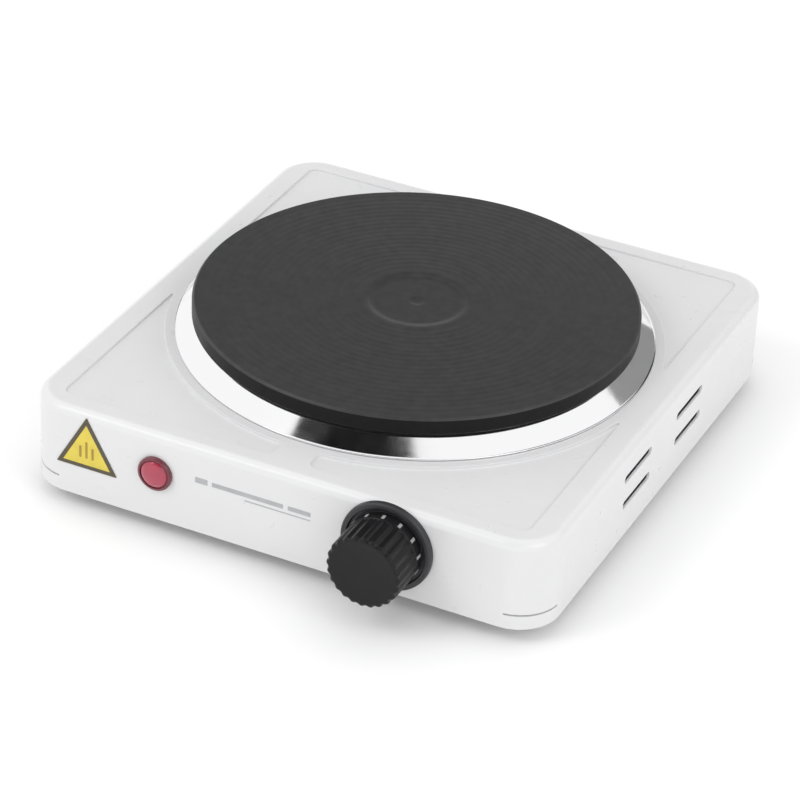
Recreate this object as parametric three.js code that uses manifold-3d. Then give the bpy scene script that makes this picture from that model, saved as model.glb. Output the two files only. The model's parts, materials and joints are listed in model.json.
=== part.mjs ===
// Single hot plate burner: a pressed steel housing that carries a cast iron heating plate.
// Millimetres, +Z up. Built with the plate's axis at x = 0, y = 0 and the worktop at z = 0;
// the front, with the dial, faces -Y. The last lines shift the whole so that the origin is
// the centre of the footprint.
import * as THREE from 'three';
import { mergeVertices } from 'three/addons/utils/BufferGeometryUtils.js';
import Module from 'manifold-3d';

const wasm = await Module();
wasm.setup();

// ---- driving sizes -------------------------------------------------------------------------
const HOUSING_WIDTH = 228;
const HOUSING_DEPTH = 238;
const SKIRT_HEIGHT = 39.5;
const CORNER_RADIUS = 18;
const EDGE_RADIUS = 4;
const SHEET = 1;                 // thickness of the pressed sheets
const FIT = 0.3;                 // clearance between neighbouring pieces
const CURVE = 5;                 // segments in a quarter round

const PLATE_DIAMETER = 185;
const PLATE_RISE = 15.2;         // plate's cooking face above the housing's top
const PLATE_RIM = 7.4;           // height of the plate's visible edge
const PLATE_SETBACK = 4;         // plate's axis behind the housing's centre
const PLATE_WEB = 4.2;           // iron above the coil's channel
const PLATE_DIMPLE = 43;         // diameter of the shallow unheated centre
const DIMPLE_DEPTH = 0.8;
const RIM_OVERHANG = 8;          // plate's edge beyond its lower body
const BODY_DROP = 5.1;           // lower body below the plate's edge
const BOSS_RADIUS = 21;
const ROUND = 48;                // facets of the large round pieces that show
const HIDDEN_ROUND = 32;         // and of those inside

const RING_SPREAD = 6.9;         // trim ring's foot beyond the plate's edge
const RING_LAND = 4.2;           // flat land between the ring's foot and the panels
const PANEL_DEPTH = 1;
const PANEL_SIDE_MARGIN = 12;
const PANEL_FRONT_MARGIN = 10;
const PANEL_REAR_MARGIN = 10;
const PANEL_GAP = 16;            // between the panels, at the front and the rear
const PANEL_SIDE_GAP = 41;       // between the panels, at the sides
const PANEL_CORNER = 4;

const FOOT_DROP = 7;             // housing's lower edge above the worktop
const FOOT_RADIUS = 9.5;
const FOOT_WELL_TOP = 3.6;       // well for the screw's head, up from the worktop
const FOOT_TAPER = 2;            // foot's lower face inside its upper one
const FOOT_INSET_X = 21;
const FOOT_INSET_Y = 28;
const BASE_RECESS = 1;           // base plate above the housing's lower edge
const BASE_UPSTAND = 6;
const BRACKET_WIDTH = 14;
const BRACKET_LEG = 9;           // leg beyond the foot's axis, inwards
const BRACKET_HEIGHT = 20;
const BRACKET_SHEET = 1.5;
const SCREW_RADIUS = 1.9;
const SCREW_HEAD_RADIUS = 3.8;
const SCREW_HEAD = 2.2;
const SCREW_SPARE = 4;           // screw's end above the bracket
const EARTH_RADIUS = 2;
const EARTH_PLACE = [88, 62];
const EARTH_HEAD = 2;
const VENT_LENGTH = 32;          // vents in the base plate
const VENT_WIDTH = 4;
const VENT_PITCH = [46, 16];
const VENT_COUNT = [3, 4];

const SLOT_LENGTH = 27.5;
const SLOT_HEIGHT = 3.6;
const SLOT_SPREAD = 54;          // between the two slots of a row
const SLOT_ROWS = [15.5, 27.5];  // heights above the housing's lower edge
const SLIT_HEIGHT = 0.8;         // relief slits at the lower corners
const SLIT_LEVEL = 6;

const DIAL_X = 48.5;
const DIAL_HEIGHT = 22;          // above the housing's lower edge
const BEZEL_RADIUS = 19.4;
const BEZEL_DEPTH = 2.8;
const BEZEL_RECESS_RADIUS = 17;
const BEZEL_FLOOR = 1.2;
const KNOB_RADIUS = 15.7;
const KNOB_REACH = 22.5;         // knob's face in front of the housing
const KNOB_FLUTES = 24;
const FLUTE_DEPTH = 0.7;
const KNOB_WALL = 2.2;
const SHAFT_RADIUS = 3;
const SHAFT_FLAT = 1;            // depth of the shaft's flat
const BUSHING_RADIUS = 5;
const FRAME_SHEET = 1.2;
const FRAME_HEIGHT = 26;
const FRAME_DEPTH = 26;
const DIAL_SCREW_SPACING = 22;
const DIAL_SCREW_RADIUS = 1.6;
const PIN_TRAVEL = 0.9;          // push pin's travel over the dial's whole turn
const ARM_PIVOT_X = 14;          // the contact arm's pivot, beside the dial's axis
const ARM_REACH = 28;
const CONTACT_BUTTON = 0.5;

const LAMP_X = -53.6;
const LAMP_HEIGHT = 21.9;
const LENS_RADIUS = 7.5;
const LAMP_BARREL = 5.7;
const LENS_EDGE = 1;             // height of the lens's rim
const LENS_DOME = 2.2;           // and of the dome on it
const LAMP_BODY_LENGTH = 15;
const CLIP_RADIUS = LAMP_BARREL + 3;
const CLIP_SHEET = 1;

const STICKER_X = -85;
const STICKER_BASE = 14.6;       // above the housing's lower edge
const STICKER_WIDTH = 26;
const STICKER_HEIGHT = 21.4;
const STICKER_FILM = 0.3;

const GLAND_X = 70;
const GLAND_HEIGHT = 20;
const GLAND_BORE = 4.2;
const GLAND_BARREL = 7;
const GLAND_FLANGE = 10;
const GLAND_REACH = 3.2;
const GLAND_BARREL_LENGTH = 11;
const GLAND_NUT_HEIGHT = 5;

const BRIDGE_WIDTH = 26;
const BRIDGE_SHEET = 1.6;
const STUD_RADIUS = 4;
const WASHER_RADIUS = 9;
const WASHER_SHEET = 1.4;
const NUT_RADIUS = 7.5;
const NUT_HEIGHT = 6.5;
const SHIELD_SHEET = 0.8;
const SHIELD_LIP = 5;
const COVER_SHEET = 0.9;
const RING_SKIN = 0.8;
const COIL_RADIUS = 1.5;
const COIL_TURNS = 5;
const LEAD_RADIUS = 1.2;
const TERMINAL_X = 6;            // the coil's two terminals, either side of the centre line
const TERMINAL_Y = 50;

// ---- places worked out from them -----------------------------------------------------------
const SIDE = HOUSING_WIDTH / 2;
const FRONT = -PLATE_SETBACK - HOUSING_DEPTH / 2;
const BACK = HOUSING_DEPTH / 2 - PLATE_SETBACK;
const SKIRT_BOTTOM = FOOT_DROP;
const TOP = SKIRT_BOTTOM + SKIRT_HEIGHT;
const CEILING = TOP - SHEET;
const PLATE_RADIUS = PLATE_DIAMETER / 2;
const PLATE_TOP = TOP + PLATE_RISE;
const RIM_BOTTOM = PLATE_TOP - PLATE_RIM;
const BODY_RADIUS = PLATE_RADIUS - RIM_OVERHANG;
const BODY_BOTTOM = RIM_BOTTOM - BODY_DROP;
const CHANNEL_TOP = PLATE_TOP - PLATE_WEB;
const CHANNEL_OUTER = BODY_RADIUS - 5;
const HOLE_RADIUS = BODY_RADIUS + 2.5;
const RING_FOOT = PLATE_RADIUS + RING_SPREAD;
const PANEL_RING = RING_FOOT + RING_LAND;
const BASE_BOTTOM = SKIRT_BOTTOM + BASE_RECESS;
const BASE_TOP = BASE_BOTTOM + SHEET;
const FOOT_X = SIDE - FOOT_INSET_X;
const FOOT_FRONT = FRONT + FOOT_INSET_Y;
const FOOT_BACK = BACK - FOOT_INSET_Y;
const DIAL_Z = SKIRT_BOTTOM + DIAL_HEIGHT;
const LAMP_Z = SKIRT_BOTTOM + LAMP_HEIGHT;
const GLAND_Z = SKIRT_BOTTOM + GLAND_HEIGHT;
const COVER_TOP = BODY_BOTTOM - FIT;
const COVER_BOTTOM = COVER_TOP - COVER_SHEET;
const BRIDGE_TOP = CEILING - FIT;
const BRIDGE_BOTTOM = BRIDGE_TOP - BRIDGE_SHEET;
const SHIELD_TOP = BRIDGE_BOTTOM - FIT;
const SHIELD_BOTTOM = SHIELD_TOP - SHIELD_SHEET;
const SHIELD_RADIUS = BODY_RADIUS + 10;
const CORNERS = [
  ['front_left', -1, FOOT_FRONT],
  ['front_right', 1, FOOT_FRONT],
  ['rear_left', -1, FOOT_BACK],
  ['rear_right', 1, FOOT_BACK],
];

// ---- finishes ------------------------------------------------------------------------------
const finish = (color, roughness, metalness) => ({ color, roughness, metalness });
const WHITE_ENAMEL = finish(0xe4e4e6, 0.35, 0);
const CAST_IRON = finish(0x444445, 0.7, 0.3);
const CHROME = finish(0xe8e8ea, 0.08, 1);
const STEEL = finish(0xb4b6b8, 0.35, 1);
const ALUMINIUM = finish(0xc8cacc, 0.4, 1);
const BLACK_PLASTIC = finish(0x303032, 0.45, 0);
const RED_LENS = finish(0xb02840, 0.2, 0);
const WHITE_PLASTIC = finish(0xdcdcd4, 0.5, 0);
const RUBBER = finish(0x232323, 0.9, 0);
const CERAMIC = finish(0xe6e0d2, 0.6, 0);
const CEMENT = finish(0xa8a49a, 0.95, 0);
const BRASS = finish(0xc2a050, 0.3, 1);
const YELLOW_FILM = finish(0xe6cf50, 0.5, 0);
const BROWN_SLEEVE = finish(0x5a3a28, 0.6, 0);
const BLUE_SLEEVE = finish(0x2c4c86, 0.6, 0);
const GREEN_SLEEVE = finish(0x6f9a38, 0.6, 0);

// ---- shape helpers -------------------------------------------------------------------------
// Welds a geometry into one closed skin whose faces point outwards.
function weld(geometry) {
  const bare = geometry.clone();
  bare.deleteAttribute('normal');
  bare.deleteAttribute('uv');
  const welded = mergeVertices(bare, 1e-4);
  const index = welded.index.array;
  const position = welded.attributes.position;
  const [a, b, c] = [new THREE.Vector3(), new THREE.Vector3(), new THREE.Vector3()];
  const faces = [];
  let volume = 0;
  for (let i = 0; i < index.length; i += 3) {
    const [i0, i1, i2] = [index[i], index[i + 1], index[i + 2]];
    if (i0 === i1 || i1 === i2 || i2 === i0) continue;
    a.fromBufferAttribute(position, i0);
    b.fromBufferAttribute(position, i1);
    c.fromBufferAttribute(position, i2);
    volume += a.dot(b.cross(c));
    faces.push([i0, i1, i2]);
  }
  const order = volume < 0 ? (f) => [f[0], f[2], f[1]] : (f) => f;
  welded.setIndex(faces.flatMap(order));
  welded.computeVertexNormals();
  return welded;
}

function toSolid(geometry) {
  const welded = weld(geometry);
  const vertProperties = new Float32Array(welded.attributes.position.array);
  const triVerts = new Uint32Array(welded.index.array);
  return new wasm.Manifold(new wasm.Mesh({ numProp: 3, vertProperties, triVerts }));
}

function toGeometry(solid) {
  const mesh = solid.getMesh();
  const geometry = new THREE.BufferGeometry();
  geometry.setAttribute('position', new THREE.BufferAttribute(mesh.vertProperties, 3));
  geometry.setIndex([...mesh.triVerts]);
  geometry.computeVertexNormals();
  return geometry;
}

const cut = (body, ...tools) => toGeometry(
  tools.reduce((solid, tool) => solid.subtract(toSolid(tool)), toSolid(body)));
const join = (body, ...others) => toGeometry(
  others.reduce((solid, other) => solid.add(toSolid(other)), toSolid(body)));

function block(x0, x1, y0, y1, z0, z1) {
  const box = new THREE.BoxGeometry(x1 - x0, y1 - y0, z1 - z0);
  return box.translate((x0 + x1) / 2, (y0 + y1) / 2, (z0 + z1) / 2);
}

// Upright round bar, or a cone when topRadius differs.
function bar(radius, z0, z1, sides = 16, topRadius = radius) {
  const cylinder = new THREE.CylinderGeometry(topRadius, radius, z1 - z0, sides);
  return cylinder.rotateX(Math.PI / 2).translate(0, 0, (z0 + z1) / 2);
}

// Turns a profile of [radius, height] pairs about +Z. A ring's profile is closed on itself.
function turned(profile, sides = ROUND) {
  const points = profile.map(([r, z]) => new THREE.Vector2(r, z));
  return weld(new THREE.LatheGeometry(points, sides).rotateX(Math.PI / 2));
}

const ringProfile = (points) => [...points, points[0]];

function roundedRect(width, depth, radius) {
  const [x, y] = [width / 2, depth / 2];
  const shape = new THREE.Shape();
  shape.moveTo(x, -y + radius);
  shape.absarc(x - radius, y - radius, radius, 0, Math.PI / 2);
  shape.absarc(-x + radius, y - radius, radius, Math.PI / 2, Math.PI);
  shape.absarc(-x + radius, -y + radius, radius, Math.PI, Math.PI * 1.5);
  shape.absarc(x - radius, -y + radius, radius, Math.PI * 1.5, Math.PI * 2);
  return shape;
}

// Upright prism of a shape from z0 to z1, its two rims rounded by `edge` when that is given.
function prism(shape, z0, z1, { edge = 0, edgeSteps = 3, curve = CURVE } = {}) {
  const options = { depth: z1 - z0 - 2 * edge, curveSegments: curve, bevelEnabled: edge > 0 };
  if (edge > 0) {
    Object.assign(options, { bevelThickness: edge, bevelSize: edge, bevelOffset: -edge });
    options.bevelSegments = edgeSteps;
  }
  return new THREE.ExtrudeGeometry(shape, options).translate(0, 0, z0 + edge);
}

// Turns a shape that stands on z = 0 so that it stands on the front wall and points out of it.
const facingFront = (geometry) => geometry.rotateX(Math.PI / 2);
const facingBack = (geometry) => geometry.rotateX(-Math.PI / 2);

const at = (geometry, x, y, z) => geometry.clone().translate(x, y, z);

// Insulated lead or bent wire along a smooth curve through the given points.
function wire(points, radius, stepsPerSpan = 2, sides = 8) {
  const path = new THREE.CatmullRomCurve3(points.map((p) => new THREE.Vector3(...p)));
  const section = new THREE.Shape();
  for (let i = 0; i < sides; i += 1) {
    const angle = (2 * Math.PI * i) / sides;
    const corner = [radius * Math.cos(angle), radius * Math.sin(angle)];
    if (i === 0) section.moveTo(...corner);
    else section.lineTo(...corner);
  }
  const steps = stepsPerSpan * (points.length - 1);
  return new THREE.ExtrudeGeometry(section, { steps, extrudePath: path, bevelEnabled: false });
}

const root = new THREE.Group();

function add(name, geometry, look, x = 0, y = 0, z = 0) {
  const mesh = new THREE.Mesh(weld(geometry), new THREE.MeshStandardMaterial(look));
  mesh.name = name;
  mesh.position.set(x, y, z);
  root.add(mesh);
  return mesh;
}

// ---- housing -------------------------------------------------------------------------------
// One of the four corner panels pressed into the housing's top, as a prism from z0 to z1.
function panel(sideX, front, z0, z1, grow) {
  const near = PANEL_GAP / 2 - grow;
  const far = SIDE - PANEL_SIDE_MARGIN + grow;
  const edgeY = front ? FRONT + PANEL_FRONT_MARGIN - grow : BACK - PANEL_REAR_MARGIN + grow;
  const tipY = (front ? -1 : 1) * (PANEL_SIDE_GAP / 2 - grow);
  const height = Math.abs(edgeY - tipY);
  const outline = prism(roundedRect(far - near, height, PANEL_CORNER), z0, z1, { curve: 3 });
  outline.translate((sideX * (near + far)) / 2, (edgeY + tipY) / 2, 0);
  return cut(outline, bar(PANEL_RING - grow, z0 - 1, z1 + 1, ROUND));
}

const PANELS = [[-1, true], [1, true], [-1, false], [1, false]];

function housingShell() {
  const below = SKIRT_BOTTOM - 20;
  const skin = (inset, top) => prism(
    roundedRect(HOUSING_WIDTH - 2 * inset, HOUSING_DEPTH - 2 * inset, CORNER_RADIUS - inset),
    below, top, { edge: EDGE_RADIUS - inset }).translate(0, -PLATE_SETBACK, 0);
  const reach = HOUSING_WIDTH + HOUSING_DEPTH;
  const trim = block(-reach, reach, -reach, reach, below - 1, SKIRT_BOTTOM);
  const outer = cut(skin(0, TOP), trim,
    ...PANELS.map(([x, front]) => panel(x, front, TOP - PANEL_DEPTH, TOP + 1, 0)));
  const cavity = cut(skin(SHEET, CEILING),
    ...PANELS.map(([x, front]) => panel(x, front, CEILING - PANEL_DEPTH, TOP, SHEET)));
  return cut(outer, cavity, bar(HOLE_RADIUS, CEILING - 5, TOP + 1, ROUND),
    ...frontHoles(), ...sideSlots(), ...cornerSlits(), rearHole());
}

function frontHoles() {
  const through = (radius) => facingFront(bar(radius, -2 * SHEET, SHEET));
  const spread = DIAL_SCREW_SPACING / 2;
  return [
    at(through(BUSHING_RADIUS + FIT), DIAL_X, FRONT, DIAL_Z),
    at(through(DIAL_SCREW_RADIUS + FIT), DIAL_X - spread, FRONT, DIAL_Z),
    at(through(DIAL_SCREW_RADIUS + FIT), DIAL_X + spread, FRONT, DIAL_Z),
    at(through(LAMP_BARREL + FIT), LAMP_X, FRONT, LAMP_Z),
  ];
}

function rearHole() {
  return at(facingBack(bar(GLAND_BARREL + FIT, -2 * SHEET, SHEET)), GLAND_X, BACK, GLAND_Z);
}

// Two rows of two long vents with round ends, through both side walls.
function sideSlots() {
  const slots = [];
  const outline = roundedRect(SLOT_HEIGHT, SLOT_LENGTH, SLOT_HEIGHT / 2 - 0.01);
  const tool = prism(outline, -SIDE - 1, SIDE + 1, { curve: 2 }).rotateY(Math.PI / 2);
  for (const row of SLOT_ROWS) {
    for (const side of [-1, 1]) {
      const y = -PLATE_SETBACK + (side * SLOT_SPREAD) / 2;
      slots.push(at(tool, 0, y, SKIRT_BOTTOM + row));
    }
  }
  return slots;
}

// Narrow relief slits through the four lower corners.
function cornerSlits() {
  const z = SKIRT_BOTTOM + SLIT_LEVEL;
  const inner = CORNER_RADIUS - 2;
  const slit = (x, y) => block(
    Math.min(x, x - Math.sign(x) * inner), Math.max(x, x - Math.sign(x) * inner),
    Math.min(y, y - Math.sign(y) * inner), Math.max(y, y - Math.sign(y) * inner),
    z, z + SLIT_HEIGHT);
  return [[-SIDE, FRONT], [SIDE, FRONT], [-SIDE, BACK], [SIDE, BACK]].map(([x, y]) => slit(x, y));
}

// ---- base, brackets and feet -----------------------------------------------------------------
function bracket(side) {
  const wall = SIDE - SHEET - FIT;
  const [inner, upright] = [FOOT_X - BRACKET_LEG, wall - BRACKET_SHEET];
  const z = BASE_TOP + FIT;
  const half = BRACKET_WIDTH / 2;
  const leg = block(inner, wall, -half, half, z, z + BRACKET_SHEET);
  const tab = block(upright, wall, -half, half, z, z + BRACKET_HEIGHT);
  const hole = at(bar(SCREW_RADIUS + FIT, z - 1, z + BRACKET_SHEET + 1), FOOT_X, 0, 0);
  const right = cut(join(leg, tab), hole);
  return side > 0 ? right : right.rotateZ(Math.PI);
}

function basePlate() {
  const tray = (inset, z0, z1) => prism(
    roundedRect(HOUSING_WIDTH - 2 * inset, HOUSING_DEPTH - 2 * inset, CORNER_RADIUS - inset),
    z0, z1).translate(0, -PLATE_SETBACK, 0);
  const outset = SHEET + FIT;
  const outer = tray(outset, BASE_BOTTOM, BASE_TOP + BASE_UPSTAND);
  const hollow = tray(outset + SHEET, BASE_TOP, BASE_TOP + BASE_UPSTAND + 1);
  const notchDepth = SHEET + FIT + BRACKET_SHEET + 1;
  const half = BRACKET_WIDTH / 2 + FIT;
  const notches = CORNERS.map(([, side, y]) => block(
    Math.min(side * SIDE, side * (SIDE - outset - notchDepth)),
    Math.max(side * SIDE, side * (SIDE - outset - notchDepth)),
    y - half, y + half, BASE_TOP, BASE_TOP + BASE_UPSTAND + 1));
  const holes = CORNERS.map(([, side, y]) => at(
    bar(SCREW_RADIUS + FIT, BASE_BOTTOM - 1, BASE_TOP + 1), side * FOOT_X, y, 0));
  const earth = at(bar(EARTH_RADIUS + FIT, BASE_BOTTOM - 1, BASE_TOP + 1), ...EARTH_PLACE, 0);
  return cut(outer, hollow, ...notches, ...holes, earth, ...baseVents());
}

// Rows of vents in the base below the plate.
function baseVents() {
  const [pitchX, pitchY] = VENT_PITCH;
  const [columns, rows] = VENT_COUNT;
  const outline = roundedRect(VENT_LENGTH, VENT_WIDTH, VENT_WIDTH / 2 - 0.01);
  const vents = [];
  for (let i = 0; i < columns; i += 1) {
    for (let j = 0; j < rows; j += 1) {
      const vent = prism(outline, BASE_BOTTOM - 1, BASE_TOP + 1, { curve: 2 });
      vents.push(at(vent, (i - (columns - 1) / 2) * pitchX, (j - (rows - 1) / 2) * pitchY, 0));
    }
  }
  return vents;
}

function foot() {
  const top = BASE_BOTTOM - FIT;
  const well = SCREW_HEAD_RADIUS + 0.7;
  const hole = SCREW_RADIUS + FIT;
  return turned(ringProfile([
    [hole, top], [FOOT_RADIUS, top], [FOOT_RADIUS, top - 2], [FOOT_RADIUS - FOOT_TAPER + 0.8, 0.8],
    [FOOT_RADIUS - FOOT_TAPER, 0], [well, 0], [well, FOOT_WELL_TOP], [hole, FOOT_WELL_TOP],
  ]), 20);
}

function footScrew() {
  const head = FOOT_WELL_TOP - FIT;
  const tip = BASE_TOP + BRACKET_SHEET + SCREW_SPARE;
  return turned([
    [0, head - SCREW_HEAD], [SCREW_HEAD_RADIUS - 0.8, head - SCREW_HEAD],
    [SCREW_HEAD_RADIUS, head - SCREW_HEAD + 0.8], [SCREW_HEAD_RADIUS, head],
    [SCREW_RADIUS, head], [SCREW_RADIUS, tip - 1], [SCREW_RADIUS - 0.8, tip], [0, tip],
  ], 12);
}

function earthScrew() {
  const z = BASE_TOP + FIT;
  return turned([
    [0, BASE_BOTTOM], [EARTH_RADIUS, BASE_BOTTOM], [EARTH_RADIUS, z], [2 * EARTH_RADIUS, z],
    [2 * EARTH_RADIUS, z + EARTH_HEAD], [0, z + EARTH_HEAD + 0.6],
  ], 16);
}

// ---- heating plate ---------------------------------------------------------------------------
function hotplateCasting() {
  const dimple = PLATE_DIMPLE / 2;
  const chamfer = 0.8;
  const iron = turned([
    [0, PLATE_TOP - DIMPLE_DEPTH], [dimple - 2, PLATE_TOP - DIMPLE_DEPTH], [dimple, PLATE_TOP],
    [PLATE_RADIUS - chamfer, PLATE_TOP], [PLATE_RADIUS, PLATE_TOP - chamfer],
    [PLATE_RADIUS, RIM_BOTTOM], [BODY_RADIUS, RIM_BOTTOM], [BODY_RADIUS, BODY_BOTTOM],
    [CHANNEL_OUTER, BODY_BOTTOM], [CHANNEL_OUTER, CHANNEL_TOP], [BOSS_RADIUS, CHANNEL_TOP],
    [BOSS_RADIUS, BODY_BOTTOM], [0, BODY_BOTTOM],
  ]);
  return cut(iron, bar(STUD_RADIUS + FIT, BODY_BOTTOM - 1, CHANNEL_TOP - 1));
}

const COIL_Z = CHANNEL_TOP - FIT - COIL_RADIUS;

function heatingCoil() {
  const perTurn = 16;
  const [inner, outer] = [BOSS_RADIUS + 4, CHANNEL_OUTER - 3.5];
  const points = [];
  for (let i = 0; i <= COIL_TURNS * perTurn; i += 1) {
    const angle = (2 * Math.PI * i) / perTurn;
    const radius = inner + ((outer - inner) * i) / (COIL_TURNS * perTurn);
    points.push([radius * Math.cos(angle), radius * Math.sin(angle), COIL_Z]);
  }
  return wire(points, COIL_RADIUS, 1, 6);
}

function terminalHoles(radius, z0, z1) {
  return [-1, 1].map((side) => at(bar(radius, z0, z1, 12), side * TERMINAL_X, TERMINAL_Y, 0));
}

const CEMENT_TOP = COIL_Z - COIL_RADIUS - FIT;

function coilInsulation() {
  const [inner, outer] = [BOSS_RADIUS + FIT, CHANNEL_OUTER - FIT];
  const z0 = COVER_TOP + 1;
  const cake = turned(ringProfile([
    [inner, z0], [outer, z0], [outer, CEMENT_TOP], [inner, CEMENT_TOP],
  ]), HIDDEN_ROUND);
  return cut(cake, ...terminalHoles(PIN_RADIUS + FIT, z0 - 1, CEMENT_TOP + 1));
}

function plateCover() {
  const disc = turned(ringProfile([
    [STUD_RADIUS + FIT, COVER_BOTTOM], [BODY_RADIUS - 0.5, COVER_BOTTOM],
    [BODY_RADIUS - 0.5, COVER_TOP], [STUD_RADIUS + FIT, COVER_TOP],
  ]), HIDDEN_ROUND);
  return cut(disc, ...terminalHoles(PIN_RADIUS + FIT, COVER_BOTTOM - 1, COVER_TOP + 1));
}

// Flared chrome ring that carries the plate's edge and stands on the housing.
function trimRing() {
  const skin = RING_SKIN;
  const top = RIM_BOTTOM - FIT;
  const footZ = TOP + FIT;
  const neck = PLATE_RADIUS - 1.4;
  const lip = BODY_RADIUS + 0.8;
  const steps = 3;
  const [outer, inner] = [[], []];
  for (let i = 0; i <= steps; i += 1) {
    const t = i / steps;
    const bend = Math.sin((t * Math.PI) / 2);
    const radius = neck + (RING_FOOT - neck) * (0.55 * t + 0.45 * (1 - Math.sqrt(1 - t * t)));
    const z = top - 0.4 - (top - 0.4 - footZ - skin) * (0.6 * t + 0.4 * bend);
    outer.push([radius, z]);
    inner.unshift([radius - skin * (1 - t), z - skin * (0.35 + 0.65 * t)]);
  }
  return turned(ringProfile([[lip, top], [neck - 0.6, top], ...outer, ...inner,
    [neck - 1.2, top - skin], [lip, top - skin]]));
}

// ---- what clamps the plate down --------------------------------------------------------------
const WASHER_TOP = SHIELD_BOTTOM - FIT;
const NUT_TOP = WASHER_TOP - WASHER_SHEET - FIT;

function centreStud() {
  const collar = [COVER_BOTTOM - FIT, BRIDGE_TOP + FIT];
  const end = NUT_TOP - NUT_HEIGHT - 3;
  return turned([
    [0, CHANNEL_TOP - 1.5], [STUD_RADIUS, CHANNEL_TOP - 1.5], [STUD_RADIUS, collar[0]],
    [2 * STUD_RADIUS, collar[0]], [2 * STUD_RADIUS, collar[1]], [STUD_RADIUS, collar[1]],
    [STUD_RADIUS, end], [0, end],
  ], 16);
}

function supportBridge() {
  const reach = HOLE_RADIUS + 9;
  const half = BRIDGE_WIDTH / 2;
  const strap = block(-reach, reach, -half, half, BRIDGE_BOTTOM, BRIDGE_TOP);
  return cut(strap, bar(STUD_RADIUS + FIT, BRIDGE_BOTTOM - 1, BRIDGE_TOP + 1));
}

function heatShield() {
  const dish = turned(ringProfile([
    [STUD_RADIUS + FIT, SHIELD_TOP], [SHIELD_RADIUS, SHIELD_TOP],
    [SHIELD_RADIUS, SHIELD_TOP - SHIELD_LIP], [SHIELD_RADIUS - SHIELD_SHEET, SHIELD_TOP - SHIELD_LIP],
    [SHIELD_RADIUS - SHIELD_SHEET, SHIELD_BOTTOM], [STUD_RADIUS + FIT, SHIELD_BOTTOM],
  ]), HIDDEN_ROUND);
  const [halfX, halfY] = [TERMINAL_BLOCK[0] / 2 + 1, TERMINAL_BLOCK[1] / 2 + 1];
  return cut(dish, block(-halfX, halfX, TERMINAL_Y - halfY, TERMINAL_Y + halfY,
    SHIELD_BOTTOM - 1, SHIELD_TOP + 1));
}

function flatRing(inner, outer, z0, z1, sides = 16) {
  return turned(ringProfile([[inner, z0], [outer, z0], [outer, z1], [inner, z1]]), sides);
}

const hexNut = (bore, corner, z0, z1) => cut(
  bar(corner, z0, z1, 6), bar(bore, z0 - 1, z1 + 1, 18));

// ---- coil terminals and thermal fuse ---------------------------------------------------------
const TERMINAL_BLOCK = [26, 13];
const PIN_RADIUS = 1.2;
const PIN_END = SHIELD_BOTTOM - 12;

function plateTerminalBlock() {
  const [halfX, halfY] = TERMINAL_BLOCK.map((size) => size / 2);
  const [z0, z1] = [PIN_END + 3, COVER_BOTTOM - FIT];
  const body = block(-halfX, halfX, TERMINAL_Y - halfY, TERMINAL_Y + halfY, z0, z1);
  return cut(body, ...terminalHoles(PIN_RADIUS + FIT, z0 - 1, z1 + 1));
}

const FUSE = { x: 30, y0: 16, y1: 30, z: SHIELD_BOTTOM - 4.5, radius: 2.2 };

function thermalFuse() {
  return at(facingBack(bar(FUSE.radius, 0, FUSE.y1 - FUSE.y0, 12)), FUSE.x, FUSE.y0, FUSE.z);
}

// ---- dial and thermostat. Heights along these pieces are measured out of the front wall ------
function dialBezel() {
  const back = FIT / 2;
  const cup = turned(ringProfile([
    [BUSHING_RADIUS + FIT, back], [BEZEL_RADIUS, back], [BEZEL_RADIUS, BEZEL_DEPTH - 0.8],
    [BEZEL_RADIUS - 0.8, BEZEL_DEPTH], [BEZEL_RECESS_RADIUS, BEZEL_DEPTH],
    [BEZEL_RECESS_RADIUS, BEZEL_FLOOR], [BUSHING_RADIUS + FIT, BEZEL_FLOOR],
  ]), 36);
  const hole = bar(DIAL_SCREW_RADIUS + FIT, 0, BEZEL_DEPTH, 16);
  const spread = DIAL_SCREW_SPACING / 2;
  return facingFront(cut(cup, at(hole, -spread, 0, 0), at(hole, spread, 0, 0)));
}

const KNOB_BACK = BEZEL_DEPTH + 0.2;
const HUB_RADIUS = SHAFT_RADIUS + 2.6;
const SHAFT_TOP = KNOB_REACH - 5;

// Outline with shallow scallops round its edge.
function flutedShape(radius) {
  const shape = new THREE.Shape();
  const perFlute = 3;
  for (let i = 0; i < KNOB_FLUTES * perFlute; i += 1) {
    const angle = (2 * Math.PI * i) / (KNOB_FLUTES * perFlute);
    const r = radius - FLUTE_DEPTH * (0.5 - 0.5 * Math.cos(angle * KNOB_FLUTES));
    if (i === 0) shape.moveTo(r, 0);
    else shape.lineTo(r * Math.cos(angle), r * Math.sin(angle));
  }
  return shape;
}

function controlKnob() {
  const body = prism(flutedShape(KNOB_RADIUS), KNOB_BACK + 4, KNOB_REACH, { edge: 1.4, edgeSteps: 2 });
  const skirt = bar(KNOB_RADIUS, KNOB_BACK, KNOB_BACK + 6, 48);
  const hollow = bar(KNOB_RADIUS - KNOB_WALL, KNOB_BACK - 1, KNOB_REACH - 4, 36);
  const hub = bar(HUB_RADIUS, KNOB_BACK, KNOB_REACH - 3, 24);
  const bore = cut(bar(SHAFT_RADIUS + FIT, KNOB_BACK - 1, SHAFT_TOP + FIT, 24),
    block(-9, 9, SHAFT_RADIUS - SHAFT_FLAT + FIT + 0.8, 9, KNOB_BACK + 3, KNOB_REACH));
  return facingFront(cut(join(cut(join(body, skirt), hollow), hub), bore));
}

const SHAFT_END = -(FRAME_SHEET + 9);

function controlShaft() {
  const rod = bar(SHAFT_RADIUS, SHAFT_END, SHAFT_TOP, 24);
  const flat = block(-9, 9, SHAFT_RADIUS - SHAFT_FLAT, 9, KNOB_BACK + 3.5, SHAFT_TOP + 1);
  return facingFront(cut(rod, flat));
}

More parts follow.
